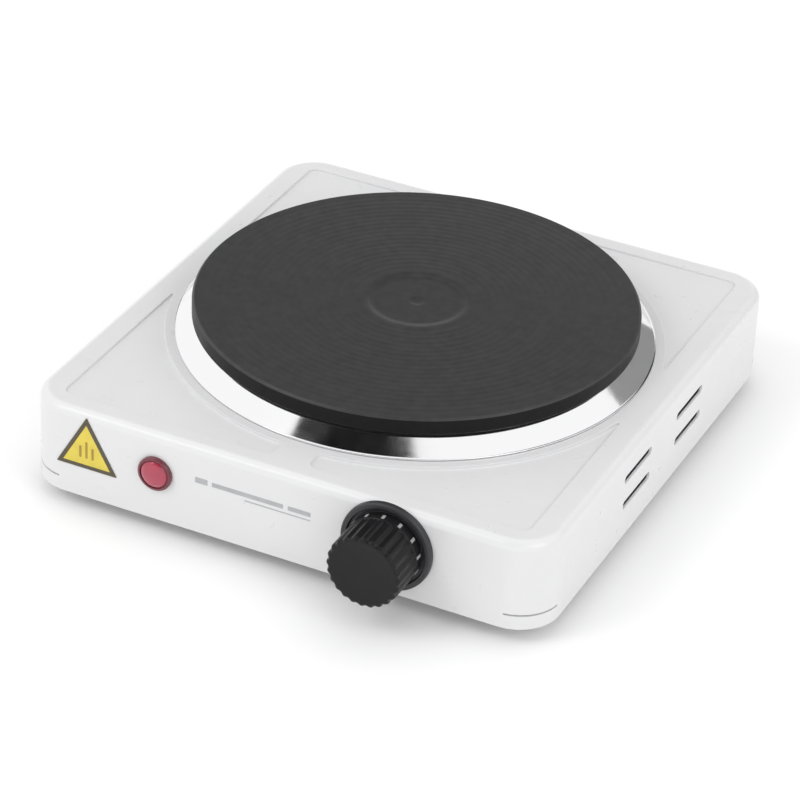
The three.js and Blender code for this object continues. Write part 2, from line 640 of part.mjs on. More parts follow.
// Leaf that keeps the knob tight on the shaft's flat.
function knobSpring() {
  const y = SHAFT_RADIUS - SHAFT_FLAT + FIT;
  return facingFront(block(-1.5, 1.5, y, y + 0.4, KNOB_BACK + 5, SHAFT_TOP - 1));
}

const FRAME_FACE = -(SHEET + FIT);
const FRAME_LEFT = -19;
const FRAME_RIGHT = 27;

function thermostatFrame() {
  const half = FRAME_HEIGHT / 2;
  const depth = FRAME_FACE - FRAME_DEPTH;
  const face = block(FRAME_LEFT, FRAME_RIGHT, -half, half, FRAME_FACE - FRAME_SHEET, FRAME_FACE);
  const upper = block(FRAME_LEFT, FRAME_RIGHT, half - FRAME_SHEET, half, depth, FRAME_FACE);
  const lower = block(FRAME_LEFT, FRAME_RIGHT, -half, FRAME_SHEET - half, depth, FRAME_FACE);
  const spread = DIAL_SCREW_SPACING / 2;
  const screwHole = bar(DIAL_SCREW_RADIUS + FIT, FRAME_FACE - 5, FRAME_FACE + 1, 16);
  return facingFront(cut(join(face, upper, lower), at(screwHole, -spread, 0, 0),
    at(screwHole, spread, 0, 0), bar(BUSHING_RADIUS + FIT, FRAME_FACE - 5, FRAME_FACE + 1)));
}

function thermostatBushing() {
  const flange = FRAME_FACE - FRAME_SHEET - FIT;
  const bore = SHAFT_RADIUS + 0.1;
  return facingFront(turned(ringProfile([
    [bore, BEZEL_FLOOR], [BUSHING_RADIUS, BEZEL_FLOOR], [BUSHING_RADIUS, flange],
    [BUSHING_RADIUS + 2.5, flange], [BUSHING_RADIUS + 2.5, flange - 1.5],
    [BUSHING_RADIUS, flange - 1.5], [BUSHING_RADIUS, SHAFT_END + 2], [bore, SHAFT_END + 2],
  ]), 16));
}

function dialScrew() {
  const seat = BEZEL_FLOOR + 0.1;
  return facingFront(turned([
    [0, FRAME_FACE - 6], [DIAL_SCREW_RADIUS, FRAME_FACE - 6], [DIAL_SCREW_RADIUS, seat],
    [DIAL_SCREW_RADIUS + 1.4, seat], [DIAL_SCREW_RADIUS + 1.4, seat + 0.7], [0, seat + 1.2],
  ], 16));
}

const PIN_TOP = SHAFT_END - FIT;
const PIN_BOTTOM = PIN_TOP - 4.6;
const ARM_FACE = PIN_BOTTOM - 0.4;
const LEAF = 0.8;
const STACK_LEFT = ARM_PIVOT_X + 0.4;
const STACK_RIGHT = FRAME_RIGHT - 1;
const RIVET_X = 18.5;
const LEAF_HALF = 3;
const RIVET_RADIUS = 1.5;
const RIVET_HEAD_RADIUS = 2.6;
const CONTACT_RADIUS = 1.6;
const PUSH_PIN_RADIUS = 2;
const CONTACT_GAP = (PIN_TRAVEL * ARM_REACH) / ARM_PIVOT_X + CONTACT_BUTTON + 0.1;
const FIXED_FACE = ARM_FACE - LEAF - CONTACT_GAP;
const BIMETAL_FACE = FIXED_FACE - LEAF - 1.6;
const STACK_BACK = BIMETAL_FACE - LEAF - 2;

const pushPin = () => facingFront(bar(PUSH_PIN_RADIUS, PIN_BOTTOM, PIN_TOP, 16));

// Sprung arm with a silver contact near its free end. Its own origin is on its pivot line.
function contactArm() {
  const blade = block(-ARM_REACH, -0.2, -LEAF_HALF, LEAF_HALF, -LEAF, 0);
  const button = at(bar(CONTACT_RADIUS, -LEAF - CONTACT_BUTTON, -LEAF + 0.1, 12), 3 - ARM_REACH, 0, 0);
  return facingFront(join(blade, button));
}

const rivetHole = () => at(bar(RIVET_RADIUS + FIT, STACK_BACK - 5, 0, 16), RIVET_X, 0, 0);

function fixedContactLeaf() {
  const blade = block(ARM_PIVOT_X - ARM_REACH, STACK_RIGHT - 1, -LEAF_HALF, LEAF_HALF,
    FIXED_FACE - LEAF, FIXED_FACE);
  return facingFront(cut(blade, rivetHole()));
}

function bimetalBlade() {
  const blade = block(ARM_PIVOT_X - ARM_REACH + 2, STACK_RIGHT - 1, -LEAF_HALF, LEAF_HALF,
    BIMETAL_FACE - LEAF, BIMETAL_FACE);
  return facingFront(cut(blade, rivetHole()));
}

function contactStack() {
  const half = 6;
  const top = FRAME_FACE - FRAME_SHEET - FIT;
  const slot = (face) => block(STACK_LEFT - 1, STACK_RIGHT + 1, -LEAF_HALF - FIT,
    LEAF_HALF + FIT, face - LEAF - FIT, face + FIT);
  return facingFront(cut(block(STACK_LEFT, STACK_RIGHT, -half, half, STACK_BACK, top),
    slot(FIXED_FACE), slot(BIMETAL_FACE), rivetHole()));
}

function stackRivet() {
  const tail = STACK_BACK - FIT;
  return at(facingFront(turned([
    [0, tail - 1.5], [RIVET_HEAD_RADIUS, tail - 1], [RIVET_HEAD_RADIUS, tail], [RIVET_RADIUS, tail],
    [RIVET_RADIUS, FRAME_FACE - FRAME_SHEET - FIT], [0, FRAME_FACE - FRAME_SHEET - FIT],
  ], 16)), RIVET_X, 0, 0);
}

// ---- pilot lamp ------------------------------------------------------------------------------
const LAMP_BARREL_END = -9;

function lampLens() {
  const dome = [];
  const steps = 4;
  for (let i = 0; i <= steps; i += 1) {
    const angle = (i / steps) * (Math.PI / 2);
    dome.push([LENS_RADIUS * Math.cos(angle), LENS_EDGE + LENS_DOME * Math.sin(angle)]);
  }
  dome[steps][0] = 0;
  return facingFront(turned([
    [0, LAMP_BARREL_END], [LAMP_BARREL, LAMP_BARREL_END], [LAMP_BARREL, FIT / 2],
    [LENS_RADIUS, FIT / 2], ...dome,
  ], 20));
}

const LAMP_BODY_END = LAMP_BARREL_END - LAMP_BODY_LENGTH;

function lampBody() {
  const top = LAMP_BARREL_END - FIT;
  return facingFront(turned([
    [0, LAMP_BODY_END], [3.4, LAMP_BODY_END], [4.4, top - 8], [5.2, top - 6], [5.2, top], [0, top],
  ], 20));
}

const lampClip = () => facingFront(flatRing(LAMP_BARREL + FIT, CLIP_RADIUS,
  -SHEET - FIT - CLIP_SHEET, -SHEET - FIT));

// ---- triangle sticker ------------------------------------------------------------------------
function sticker() {
  const half = STICKER_WIDTH / 2;
  const corners = [[-half, 0], [half, 0], [0, STICKER_HEIGHT]];
  const round = 0.12;            // share of each side taken by a rounded corner
  const toward = (p, q) => [p[0] + (q[0] - p[0]) * round, p[1] + (q[1] - p[1]) * round];
  const shape = new THREE.Shape();
  corners.forEach((corner, i) => {
    const before = corners[(i + 2) % 3];
    const after = corners[(i + 1) % 3];
    if (i === 0) shape.moveTo(...toward(corner, before));
    else shape.lineTo(...toward(corner, before));
    shape.quadraticCurveTo(...corner, ...toward(corner, after));
  });
  return facingFront(prism(shape, 0.05, 0.05 + STICKER_FILM));
}

// ---- mains inlet -----------------------------------------------------------------------------
function cordGland() {
  const end = -SHEET - GLAND_BARREL_LENGTH;
  return facingBack(turned(ringProfile([
    [GLAND_BORE, end], [GLAND_BARREL, end], [GLAND_BARREL, FIT / 2], [GLAND_FLANGE, FIT / 2],
    [GLAND_FLANGE, GLAND_REACH - 0.8], [GLAND_FLANGE - 0.8, GLAND_REACH],
    [GLAND_BORE, GLAND_REACH],
  ]), 20));
}

const glandNut = () => facingBack(hexNut(GLAND_BARREL + FIT, GLAND_FLANGE + 1,
  -SHEET - FIT - GLAND_NUT_HEIGHT, -SHEET - FIT));

const MAINS = { x: 50, y: 82, width: 33, depth: 15, height: 13, pitch: 10, well: 5 };
const MAINS_WELL_RADIUS = 2.4;
const MAINS_SCREW = { radius: 2, height: 4 };
MAINS.z = BASE_TOP + FIT;
const pole = (i) => MAINS.x - MAINS.pitch + i * MAINS.pitch;

function mainsTerminalBlock() {
  const [halfX, halfY] = [MAINS.width / 2, MAINS.depth / 2];
  const body = block(MAINS.x - halfX, MAINS.x + halfX, MAINS.y - halfY, MAINS.y + halfY,
    MAINS.z, MAINS.z + MAINS.height);
  const wells = [0, 1, 2].map((i) => at(bar(MAINS_WELL_RADIUS, 0, MAINS.well + 1, 16),
    pole(i), MAINS.y, MAINS.z + MAINS.height - MAINS.well));
  return cut(body, ...wells);
}

const mainsScrew = () => turned([
  [0, 0], [MAINS_SCREW.radius, 0], [MAINS_SCREW.radius, MAINS_SCREW.height], [0, MAINS_SCREW.height],
], 12);

// ---- assembly --------------------------------------------------------------------------------
add('housing_shell', housingShell(), WHITE_ENAMEL);
add('base_plate', basePlate(), WHITE_ENAMEL);
for (const [corner, side, y] of CORNERS) {
  add(`corner_bracket_${corner}`, bracket(side), STEEL, 0, y, 0);
  add(`foot_${corner}`, foot(), RUBBER, side * FOOT_X, y, 0);
  add(`foot_screw_${corner}`, footScrew(), STEEL, side * FOOT_X, y, 0);
}

add('hotplate_casting', hotplateCasting(), CAST_IRON);
add('heating_coil', heatingCoil(), STEEL);
add('coil_insulation', coilInsulation(), CEMENT);
add('plate_cover', plateCover(), STEEL);
add('trim_ring', trimRing(), CHROME);
add('centre_stud', centreStud(), STEEL);
add('support_bridge', supportBridge(), STEEL);
add('heat_shield', heatShield(), ALUMINIUM);
add('stud_washer', flatRing(STUD_RADIUS + FIT, WASHER_RADIUS, WASHER_TOP - WASHER_SHEET, WASHER_TOP), STEEL);
add('stud_nut', hexNut(STUD_RADIUS + FIT, NUT_RADIUS, NUT_TOP - NUT_HEIGHT, NUT_TOP), STEEL);
add('plate_terminal_block', plateTerminalBlock(), CERAMIC);
for (const [i, side] of [[1, -1], [2, 1]]) {
  const pin = bar(PIN_RADIUS, PIN_END, CEMENT_TOP - 0.5, 10);
  add(`plate_terminal_pin_${i}`, pin, BRASS, side * TERMINAL_X, TERMINAL_Y, 0);
}
add('thermal_fuse', thermalFuse(), ALUMINIUM);

add('dial_bezel', dialBezel(), BLACK_PLASTIC, DIAL_X, FRONT, DIAL_Z);
add('thermostat_frame', thermostatFrame(), STEEL, DIAL_X, FRONT, DIAL_Z);
add('thermostat_bushing', thermostatBushing(), BRASS, DIAL_X, FRONT, DIAL_Z);
for (const [name, side] of [['left', -1], ['right', 1]]) {
  const x = DIAL_X + (side * DIAL_SCREW_SPACING) / 2;
  add(`thermostat_screw_${name}`, dialScrew(), STEEL, x, FRONT, DIAL_Z);
}
add('contact_stack', contactStack(), CERAMIC, DIAL_X, FRONT, DIAL_Z);
add('stack_rivet', stackRivet(), BRASS, DIAL_X, FRONT, DIAL_Z);
add('fixed_contact_leaf', fixedContactLeaf(), BRASS, DIAL_X, FRONT, DIAL_Z);
add('bimetal_blade', bimetalBlade(), STEEL, DIAL_X, FRONT, DIAL_Z);
add('control_knob', controlKnob(), BLACK_PLASTIC, DIAL_X, FRONT, DIAL_Z);
add('control_shaft', controlShaft(), BRASS, DIAL_X, FRONT, DIAL_Z);
add('knob_spring', knobSpring(), STEEL, DIAL_X, FRONT, DIAL_Z);
add('push_pin', pushPin(), CERAMIC, DIAL_X, FRONT, DIAL_Z);
add('contact_arm', contactArm(), BRASS, DIAL_X + ARM_PIVOT_X, FRONT - ARM_FACE, DIAL_Z);

add('lamp_lens', lampLens(), RED_LENS, LAMP_X, FRONT, LAMP_Z);
add('lamp_body', lampBody(), WHITE_PLASTIC, LAMP_X, FRONT, LAMP_Z);
add('lamp_clip', lampClip(), STEEL, LAMP_X, FRONT, LAMP_Z);
add('triangle_sticker', sticker(), YELLOW_FILM, STICKER_X, FRONT, SKIRT_BOTTOM + STICKER_BASE);

add('cord_gland', cordGland(), BLACK_PLASTIC, GLAND_X, BACK, GLAND_Z);
add('gland_nut', glandNut(), BLACK_PLASTIC, GLAND_X, BACK, GLAND_Z);
add('mains_terminal_block', mainsTerminalBlock(), WHITE_PLASTIC);
for (const i of [0, 1, 2]) {
  add(`mains_screw_${i + 1}`, mainsScrew(), BRASS, pole(i), MAINS.y,
    MAINS.z + MAINS.height - MAINS.well + FIT);
}
add('earth_screw', earthScrew(), BRASS, ...EARTH_PLACE, 0);

// Leads inside the housing. Each runs straight out of the piece at either end for a short
// way, and goes through the points between, which are chosen by hand.
const STUB = 3;
const REARWARD = [0, 1, 0];
const FORWARD = [0, -1, 0];
const DOWN = [0, 0, -1];
const stackY = FRONT - STACK_BACK + FIT;
const lampY = FRONT - LAMP_BODY_END + FIT;
const blockY = MAINS.y - MAINS.depth / 2 - FIT;
const blockZ = MAINS.z + 5;
const floorZ = BASE_TOP + 4;
const stackX = DIAL_X + STACK_LEFT + 2;
const pinZ = PIN_END - FIT;
const LEADS = [
  ['lead_live_in', BROWN_SLEEVE, [pole(1), blockY, blockZ], FORWARD,
    [[pole(1) + 4, blockY - 14, floorZ], [pole(1) + 22, 26, floorZ], [86, -30, floorZ],
      [82, -72, floorZ + 4]],
    REARWARD, [stackX, stackY, DIAL_Z - 4.5]],
  ['lead_live_out', BROWN_SLEEVE, [stackX, stackY, DIAL_Z + 4.5], REARWARD,
    [[52, -60, DIAL_Z], [36, -10, FUSE.z - 4]],
    FORWARD, [FUSE.x, FUSE.y0 - FIT, FUSE.z]],
  ['lead_fuse', BROWN_SLEEVE, [FUSE.x, FUSE.y1 + FIT, FUSE.z], REARWARD,
    [[FUSE.x - 4, TERMINAL_Y - 8, PIN_END - 4], [TERMINAL_X + 10, TERMINAL_Y, PIN_END - 9]],
    DOWN, [TERMINAL_X, TERMINAL_Y, pinZ]],
  ['lead_neutral', BLUE_SLEEVE, [pole(0) - 1.8, blockY, blockZ], FORWARD,
    [[pole(0) - 8, blockY - 10, floorZ], [16, 60, floorZ], [0, 55, floorZ]],
    DOWN, [-TERMINAL_X, TERMINAL_Y, pinZ]],
  ['lead_earth', GREEN_SLEEVE, [pole(2), blockY, blockZ], FORWARD,
    [[pole(2) + 5, blockY - 10, floorZ]],
    [-1, 0, 0], [EARTH_PLACE[0] - 2 * EARTH_RADIUS - FIT, EARTH_PLACE[1], floorZ - 2.4]],
  ['lead_lamp_live', BROWN_SLEEVE, [LAMP_X - 1.8, lampY, LAMP_Z], REARWARD,
    [[LAMP_X + 4, lampY + 14, floorZ + 4], [-20, -74, floorZ], [30, -72, floorZ],
      [64, -78, floorZ + 6]],
    REARWARD, [DIAL_X + STACK_RIGHT - 2, stackY, DIAL_Z]],
  ['lead_lamp_neutral', BLUE_SLEEVE, [LAMP_X + 1.8, lampY, LAMP_Z], REARWARD,
    [[LAMP_X + 12, -68, floorZ + 4], [-16, -36, floorZ], [10, 10, floorZ], [36, 50, floorZ]],
    FORWARD, [pole(0) + 1.8, blockY, blockZ]],
];
const stubOf = (point, direction) => point.map((value, i) => value + STUB * direction[i]);
for (const [name, sleeve, from, leaving, via, arriving, to] of LEADS) {
  const points = [from, stubOf(from, leaving), ...via, stubOf(to, arriving), to];
  add(name, wire(points, LEAD_RADIUS), sleeve);
}

// The origin is the centre of the footprint, the knob and the gland included.
root.position.y = -(FRONT - KNOB_REACH + BACK + GLAND_REACH) / 2;

export default root;
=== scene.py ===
"""Single hot plate burner: enamelled housing, cast iron plate, bright ring, dial and pilot lamp."""

import json
import math

import bmesh
import bpy
from mathutils import Matrix, Vector


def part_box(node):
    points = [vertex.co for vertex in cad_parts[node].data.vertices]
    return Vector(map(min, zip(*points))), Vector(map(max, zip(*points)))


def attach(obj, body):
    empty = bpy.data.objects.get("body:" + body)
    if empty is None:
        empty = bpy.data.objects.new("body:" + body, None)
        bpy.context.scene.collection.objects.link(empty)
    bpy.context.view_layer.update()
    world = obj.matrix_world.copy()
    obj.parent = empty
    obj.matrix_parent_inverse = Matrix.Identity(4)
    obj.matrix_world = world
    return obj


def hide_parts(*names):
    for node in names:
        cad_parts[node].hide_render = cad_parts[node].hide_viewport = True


bl_info = {
    "name": "Hot plate burner",
    "version": (1, 0, 0),
    "blender": (4, 5, 0),
    "location": "View3D > Sidebar > Burner",
    "description": "Builds the looks of a single hot plate burner around its frame",
    "category": "Object",
}

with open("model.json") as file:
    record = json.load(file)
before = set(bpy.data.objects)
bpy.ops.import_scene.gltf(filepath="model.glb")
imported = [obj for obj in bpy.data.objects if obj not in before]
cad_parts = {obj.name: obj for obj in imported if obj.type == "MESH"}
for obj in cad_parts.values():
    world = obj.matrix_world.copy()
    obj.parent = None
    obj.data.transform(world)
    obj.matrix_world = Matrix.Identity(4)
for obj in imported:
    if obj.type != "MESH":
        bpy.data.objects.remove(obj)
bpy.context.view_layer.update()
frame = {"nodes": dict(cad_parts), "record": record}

MM = 0.001
UP, FORWARD, BACKWARD = Vector((0, 0, 1)), Vector((0, -1, 0)), Vector((0, 1, 0))

# ---- places, from the frame ----------------------------------------------------------------
SHELL_LOW, SHELL_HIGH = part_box("housing_shell")
SHELL_CENTRE = (SHELL_LOW + SHELL_HIGH) / 2
SHELL_SIZE = SHELL_HIGH - SHELL_LOW
TOP = SHELL_HIGH.z
FRONT = SHELL_LOW.y
BACK = SHELL_HIGH.y
CASTING_LOW, CASTING_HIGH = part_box("hotplate_casting")
PLATE_RADIUS = (CASTING_HIGH.x - CASTING_LOW.x) / 2
PLATE_AXIS = Vector((0, (CASTING_LOW.y + CASTING_HIGH.y) / 2, 0))
PLATE_TOP = CASTING_HIGH.z
BODY_BOTTOM = CASTING_LOW.z
RING_LOW, RING_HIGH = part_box("trim_ring")
RING_FOOT = (RING_HIGH.x - RING_LOW.x) / 2
BEZEL_LOW, BEZEL_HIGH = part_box("dial_bezel")
BEZEL_RADIUS = (BEZEL_HIGH.x - BEZEL_LOW.x) / 2
KNOB_LOW, KNOB_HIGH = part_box("control_knob")
KNOB_RADIUS = (KNOB_HIGH.x - KNOB_LOW.x) / 2
KNOB_BACK = FRONT - KNOB_HIGH.y
LENS_LOW, LENS_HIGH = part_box("lamp_lens")
LENS_RADIUS = (LENS_HIGH.x - LENS_LOW.x) / 2
LENS_REACH = FRONT - LENS_LOW.y
STICKER_LOW, STICKER_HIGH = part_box("triangle_sticker")
GLAND_LOW, GLAND_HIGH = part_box("cord_gland")
PAN_LOW, PAN_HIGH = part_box("base_plate")
CORNERS = ("front_left", "front_right", "rear_left", "rear_right")


def middle(node):
    low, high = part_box(node)
    return (low + high) / 2


def on_front(node):
    """The point of the housing's front wall behind a node's middle."""
    centre = middle(node)
    return Vector((centre.x, FRONT, centre.z))


# ---- sizes and colours that can be changed ---------------------------------------------------
def length(name, text, value):
    return bpy.props.FloatProperty(
        name=name, description=text, default=value, min=0, unit="LENGTH", precision=5)


def colour(name, text, value):
    return bpy.props.FloatVectorProperty(
        name=name, description=text, default=value, min=0, max=1, size=3, subtype="COLOR")


class BurnerHousing(bpy.types.PropertyGroup):
    corner: length("Corner radius", "Radius of the upright corners", 18 * MM)
    edge: length("Edge radius", "Radius between the top and the sides", 4 * MM)
    sheet: length("Sheet", "Thickness of the steel sheet", 1 * MM)
    panel_depth: length("Panel depth", "Depth of the pressed panels", 1 * MM)
    panel_gap: length("Panel gap", "Gap between the panels at front and rear", 16 * MM)
    panel_side_gap: length("Panel side gap", "Gap between the panels at the sides", 41 * MM)
    panel_side: length("Side margin", "Panel to the housing's side", 12 * MM)
    panel_end: length("End margin", "Panel to the housing's front or rear", 10 * MM)
    panel_corner: length("Panel corner", "Corner radius of the panels", 4 * MM)
    panel_land: length("Ring land", "Flat land between the ring and the panels", 4.2 * MM)
    press_radius: length("Press radius", "Radius of the pressed edges", 0.25 * MM)
    slot_length: length("Slot length", "Length of the side vents", 27.5 * MM)
    slot_height: length("Slot height", "Height of the side vents", 3.6 * MM)
    slot_spread: length("Slot spread", "Distance between the vents of a row", 54 * MM)
    enamel: colour("Enamel", "Colour of the housing", (0.715, 0.715, 0.722))


class BurnerPlate(bpy.types.PropertyGroup):
    rim: length("Rim height", "Height of the plate's visible edge", 7.4 * MM)
    overhang: length("Overhang", "Plate's edge beyond its lower body", 8 * MM)
    dimple: length("Dimple radius", "Radius of the shallow centre", 21.5 * MM)
    dimple_depth: length("Dimple depth", "Depth of the shallow centre", 0.8 * MM)
    groove_pitch: length("Groove pitch", "Distance between the turned rings", 3.4 * MM)
    groove_depth: length("Groove depth", "Depth of the turned rings", 0.055 * MM)
    iron: colour("Iron", "Colour of the plate's coating", (0.036, 0.036, 0.0365))
    chrome: colour("Chrome", "Colour of the trim ring", (0.93, 0.93, 0.94))


class BurnerControls(bpy.types.PropertyGroup):
    flutes: bpy.props.IntProperty(
        name="Flutes", description="Scallops round the knob", default=24, min=8, max=60)
    flute_depth: length("Flute depth", "Depth of the knob's scallops", 0.7 * MM)
    marks: bpy.props.IntProperty(
        name="Marks", description="Pale marks round the knob", default=11, min=2, max=30)
    plastic: colour("Plastic", "Colour of the knob", (0.010, 0.010, 0.011))
    mark_colour: colour("Mark", "Colour of the marks on the knob", (0.33, 0.33, 0.33))
    lens: colour("Lens", "Colour of the pilot lamp", (0.38, 0.035, 0.07))
    sticker_width: length("Triangle width", "Side of the triangle", 27.4 * MM)
    sticker: colour("Sticker", "Colour of the triangle", (0.70, 0.56, 0.075))
    border: colour("Border", "Colour of the triangle's border", (0.085, 0.07, 0.04))
    print: colour("Print", "Colour of the printed bars", (0.42, 0.43, 0.44))


# ---- selecting and shaping -------------------------------------------------------------------
def clear():
    if bpy.context.object and bpy.context.object.mode != "OBJECT":
        bpy.ops.object.mode_set(mode="OBJECT")
    bpy.ops.object.select_all(action="DESELECT")


def only(*pieces):
    """Selects these pieces alone and makes the first one active."""
    clear()
    for piece in pieces:
        piece.select_set(True)
    bpy.context.view_layer.objects.active = pieces[0]
    return pieces[0]


def edit(piece):
    only(piece)
    bpy.ops.object.mode_set(mode="EDIT")
    bpy.ops.mesh.select_all(action="SELECT")


def done():
    bpy.ops.object.mode_set(mode="OBJECT")


def settle(name):
    """Puts the new primitive's place, turn and size into its mesh and names it."""
    piece = bpy.context.object
    piece.name = name
    bpy.ops.object.transform_apply(location=True, rotation=True, scale=True)
    return piece


def pick(kind, wanted):
    """Selects the corners, edges or faces of the mesh in edit mode that a test asks for."""
    bpy.ops.mesh.select_mode(type=kind)
    bpy.ops.mesh.select_all(action="DESELECT")
    data = bpy.context.object.data
    mesh = bmesh.from_edit_mesh(data)
    parts = {"VERT": mesh.verts, "EDGE": mesh.edges, "FACE": mesh.faces}[kind]
    found = [part for part in parts if wanted(part)]
    if not found:
        raise RuntimeError(f"{bpy.context.object.name}: nothing found to shape")
    for part in found:
        part.select_set(True)
    bmesh.update_edit_mesh(data)


def near(a, b, slack=0.01 * MM):
    return abs(a - b) < slack


def along(axis):
    """A test for straight edges that run along an axis, 0 for x, 1 for y, 2 for z."""
    others = [i for i in range(3) if i != axis]

    def test(e):
        a, b = (v.co for v in e.verts)
        return all(near(a[i], b[i]) for i in others) and not near(a[axis], b[axis])
    return test


def round_edges(offset, segments, wanted):
    pick("EDGE", wanted)
    bpy.ops.mesh.bevel(offset=offset, segments=segments, affect="EDGES", clamp_overlap=False)


def block(name, low, high):
    low, high = Vector(low), Vector(high)
    clear()
    bpy.ops.mesh.primitive_cube_add(size=1, location=(low + high) / 2, scale=high - low)
    return settle(name)


def rod(name, radius, start, end, sides=64):
    """A round bar between two points, as a drill or a cutter."""
    start, end = Vector(start), Vector(end)
    clear()
    turn = (end - start).to_track_quat("Z", "Y").to_euler()
    bpy.ops.mesh.primitive_cylinder_add(
        vertices=sides, radius=radius, depth=(end - start).length,
        location=(start + end) / 2, rotation=turn)
    return settle(name)


def join(*pieces):
    piece = only(*pieces)
    bpy.ops.object.join()
    return piece


def apply_modifier(piece, kind, **settings):
    only(piece)
    bpy.ops.object.modifier_add(type=kind)
    step = piece.modifiers[-1]
    for key, value in settings.items():
        setattr(step, key, value)
    bpy.ops.object.modifier_apply(modifier=step.name)


def carve(piece, *cutters):
    for cutter in cutters:
        apply_modifier(piece, "BOOLEAN", object=cutter, operation="DIFFERENCE", solver="EXACT")
        only(cutter)
        bpy.ops.object.delete()


def smooth(piece, degrees=35):
    only(piece)
    bpy.ops.object.shade_smooth_by_angle(angle=math.radians(degrees))
    apply_modifier(piece, "WEIGHTED_NORMAL", keep_sharp=True)


def tidy():
    """Merges doubles and turns the faces outwards, in edit mode."""
    bpy.ops.mesh.select_all(action="SELECT")
    bpy.ops.mesh.remove_doubles(threshold=0.001 * MM)
    bpy.ops.mesh.normals_make_consistent(inside=False)


def turned(name, outline, centre, out=UP, steps=128):
    """Spins half a section about its axis. The outline holds radius and height pairs, and a
    third number where a corner is rounded: how far back along its sides the curve starts."""
    centre = Vector(centre)

    def place(point):
        return centre + Vector((point[0], 0, 0)) + out * point[1]
    clear()
    bpy.ops.mesh.primitive_plane_add(size=MM, location=place(outline[0]))
    piece = settle(name)
    edit(piece)
    bpy.ops.mesh.select_mode(type="VERT")
    bpy.ops.mesh.select_all(action="SELECT")
    bpy.ops.mesh.merge(type="CENTER")
    for before, after in zip(outline, outline[1:]):
        bpy.ops.mesh.extrude_region_move(
            TRANSFORM_OT_translate={"value": place(after) - place(before)})
    bpy.ops.mesh.select_all(action="SELECT")
    bpy.ops.mesh.remove_doubles(threshold=0.001 * MM)
    for point in outline:
        if len(point) > 2:
            spot = place(point)
            pick("VERT", lambda v: (v.co - spot).length < 0.01 * MM)
            bpy.ops.mesh.bevel(offset=point[2], segments=4, affect="VERTICES", clamp_overlap=False)
    bpy.ops.mesh.select_all(action="SELECT")
    bpy.ops.mesh.spin(steps=steps, angle=2 * math.pi, center=centre, axis=out, use_auto_merge=True)
    tidy()
    done()
    return piece


def copy_to(piece, name, shift):
    """A copy with its own mesh, moved by shift, its place in its mesh."""
    only(piece)
    bpy.ops.object.duplicate(linked=False)
    bpy.ops.transform.translate(value=shift)
    return settle(name)


def paint(piece, *finishes):
    piece.data.materials.clear()
    for look in finishes:
        piece.data.materials.append(look)


def paint_faces(piece, slot, wanted):
    """Gives the faces that a test asks for the piece's material of that number."""
    edit(piece)
    pick("FACE", wanted)
    piece.active_material_index = slot
    bpy.ops.object.material_slot_assign()
    done()


def settle_on(piece, body, slot, *nodes):
    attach(piece, body)
    if nodes:
        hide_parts(*nodes)


# ---- finishes --------------------------------------------------------------------------------
FINISHES = {}


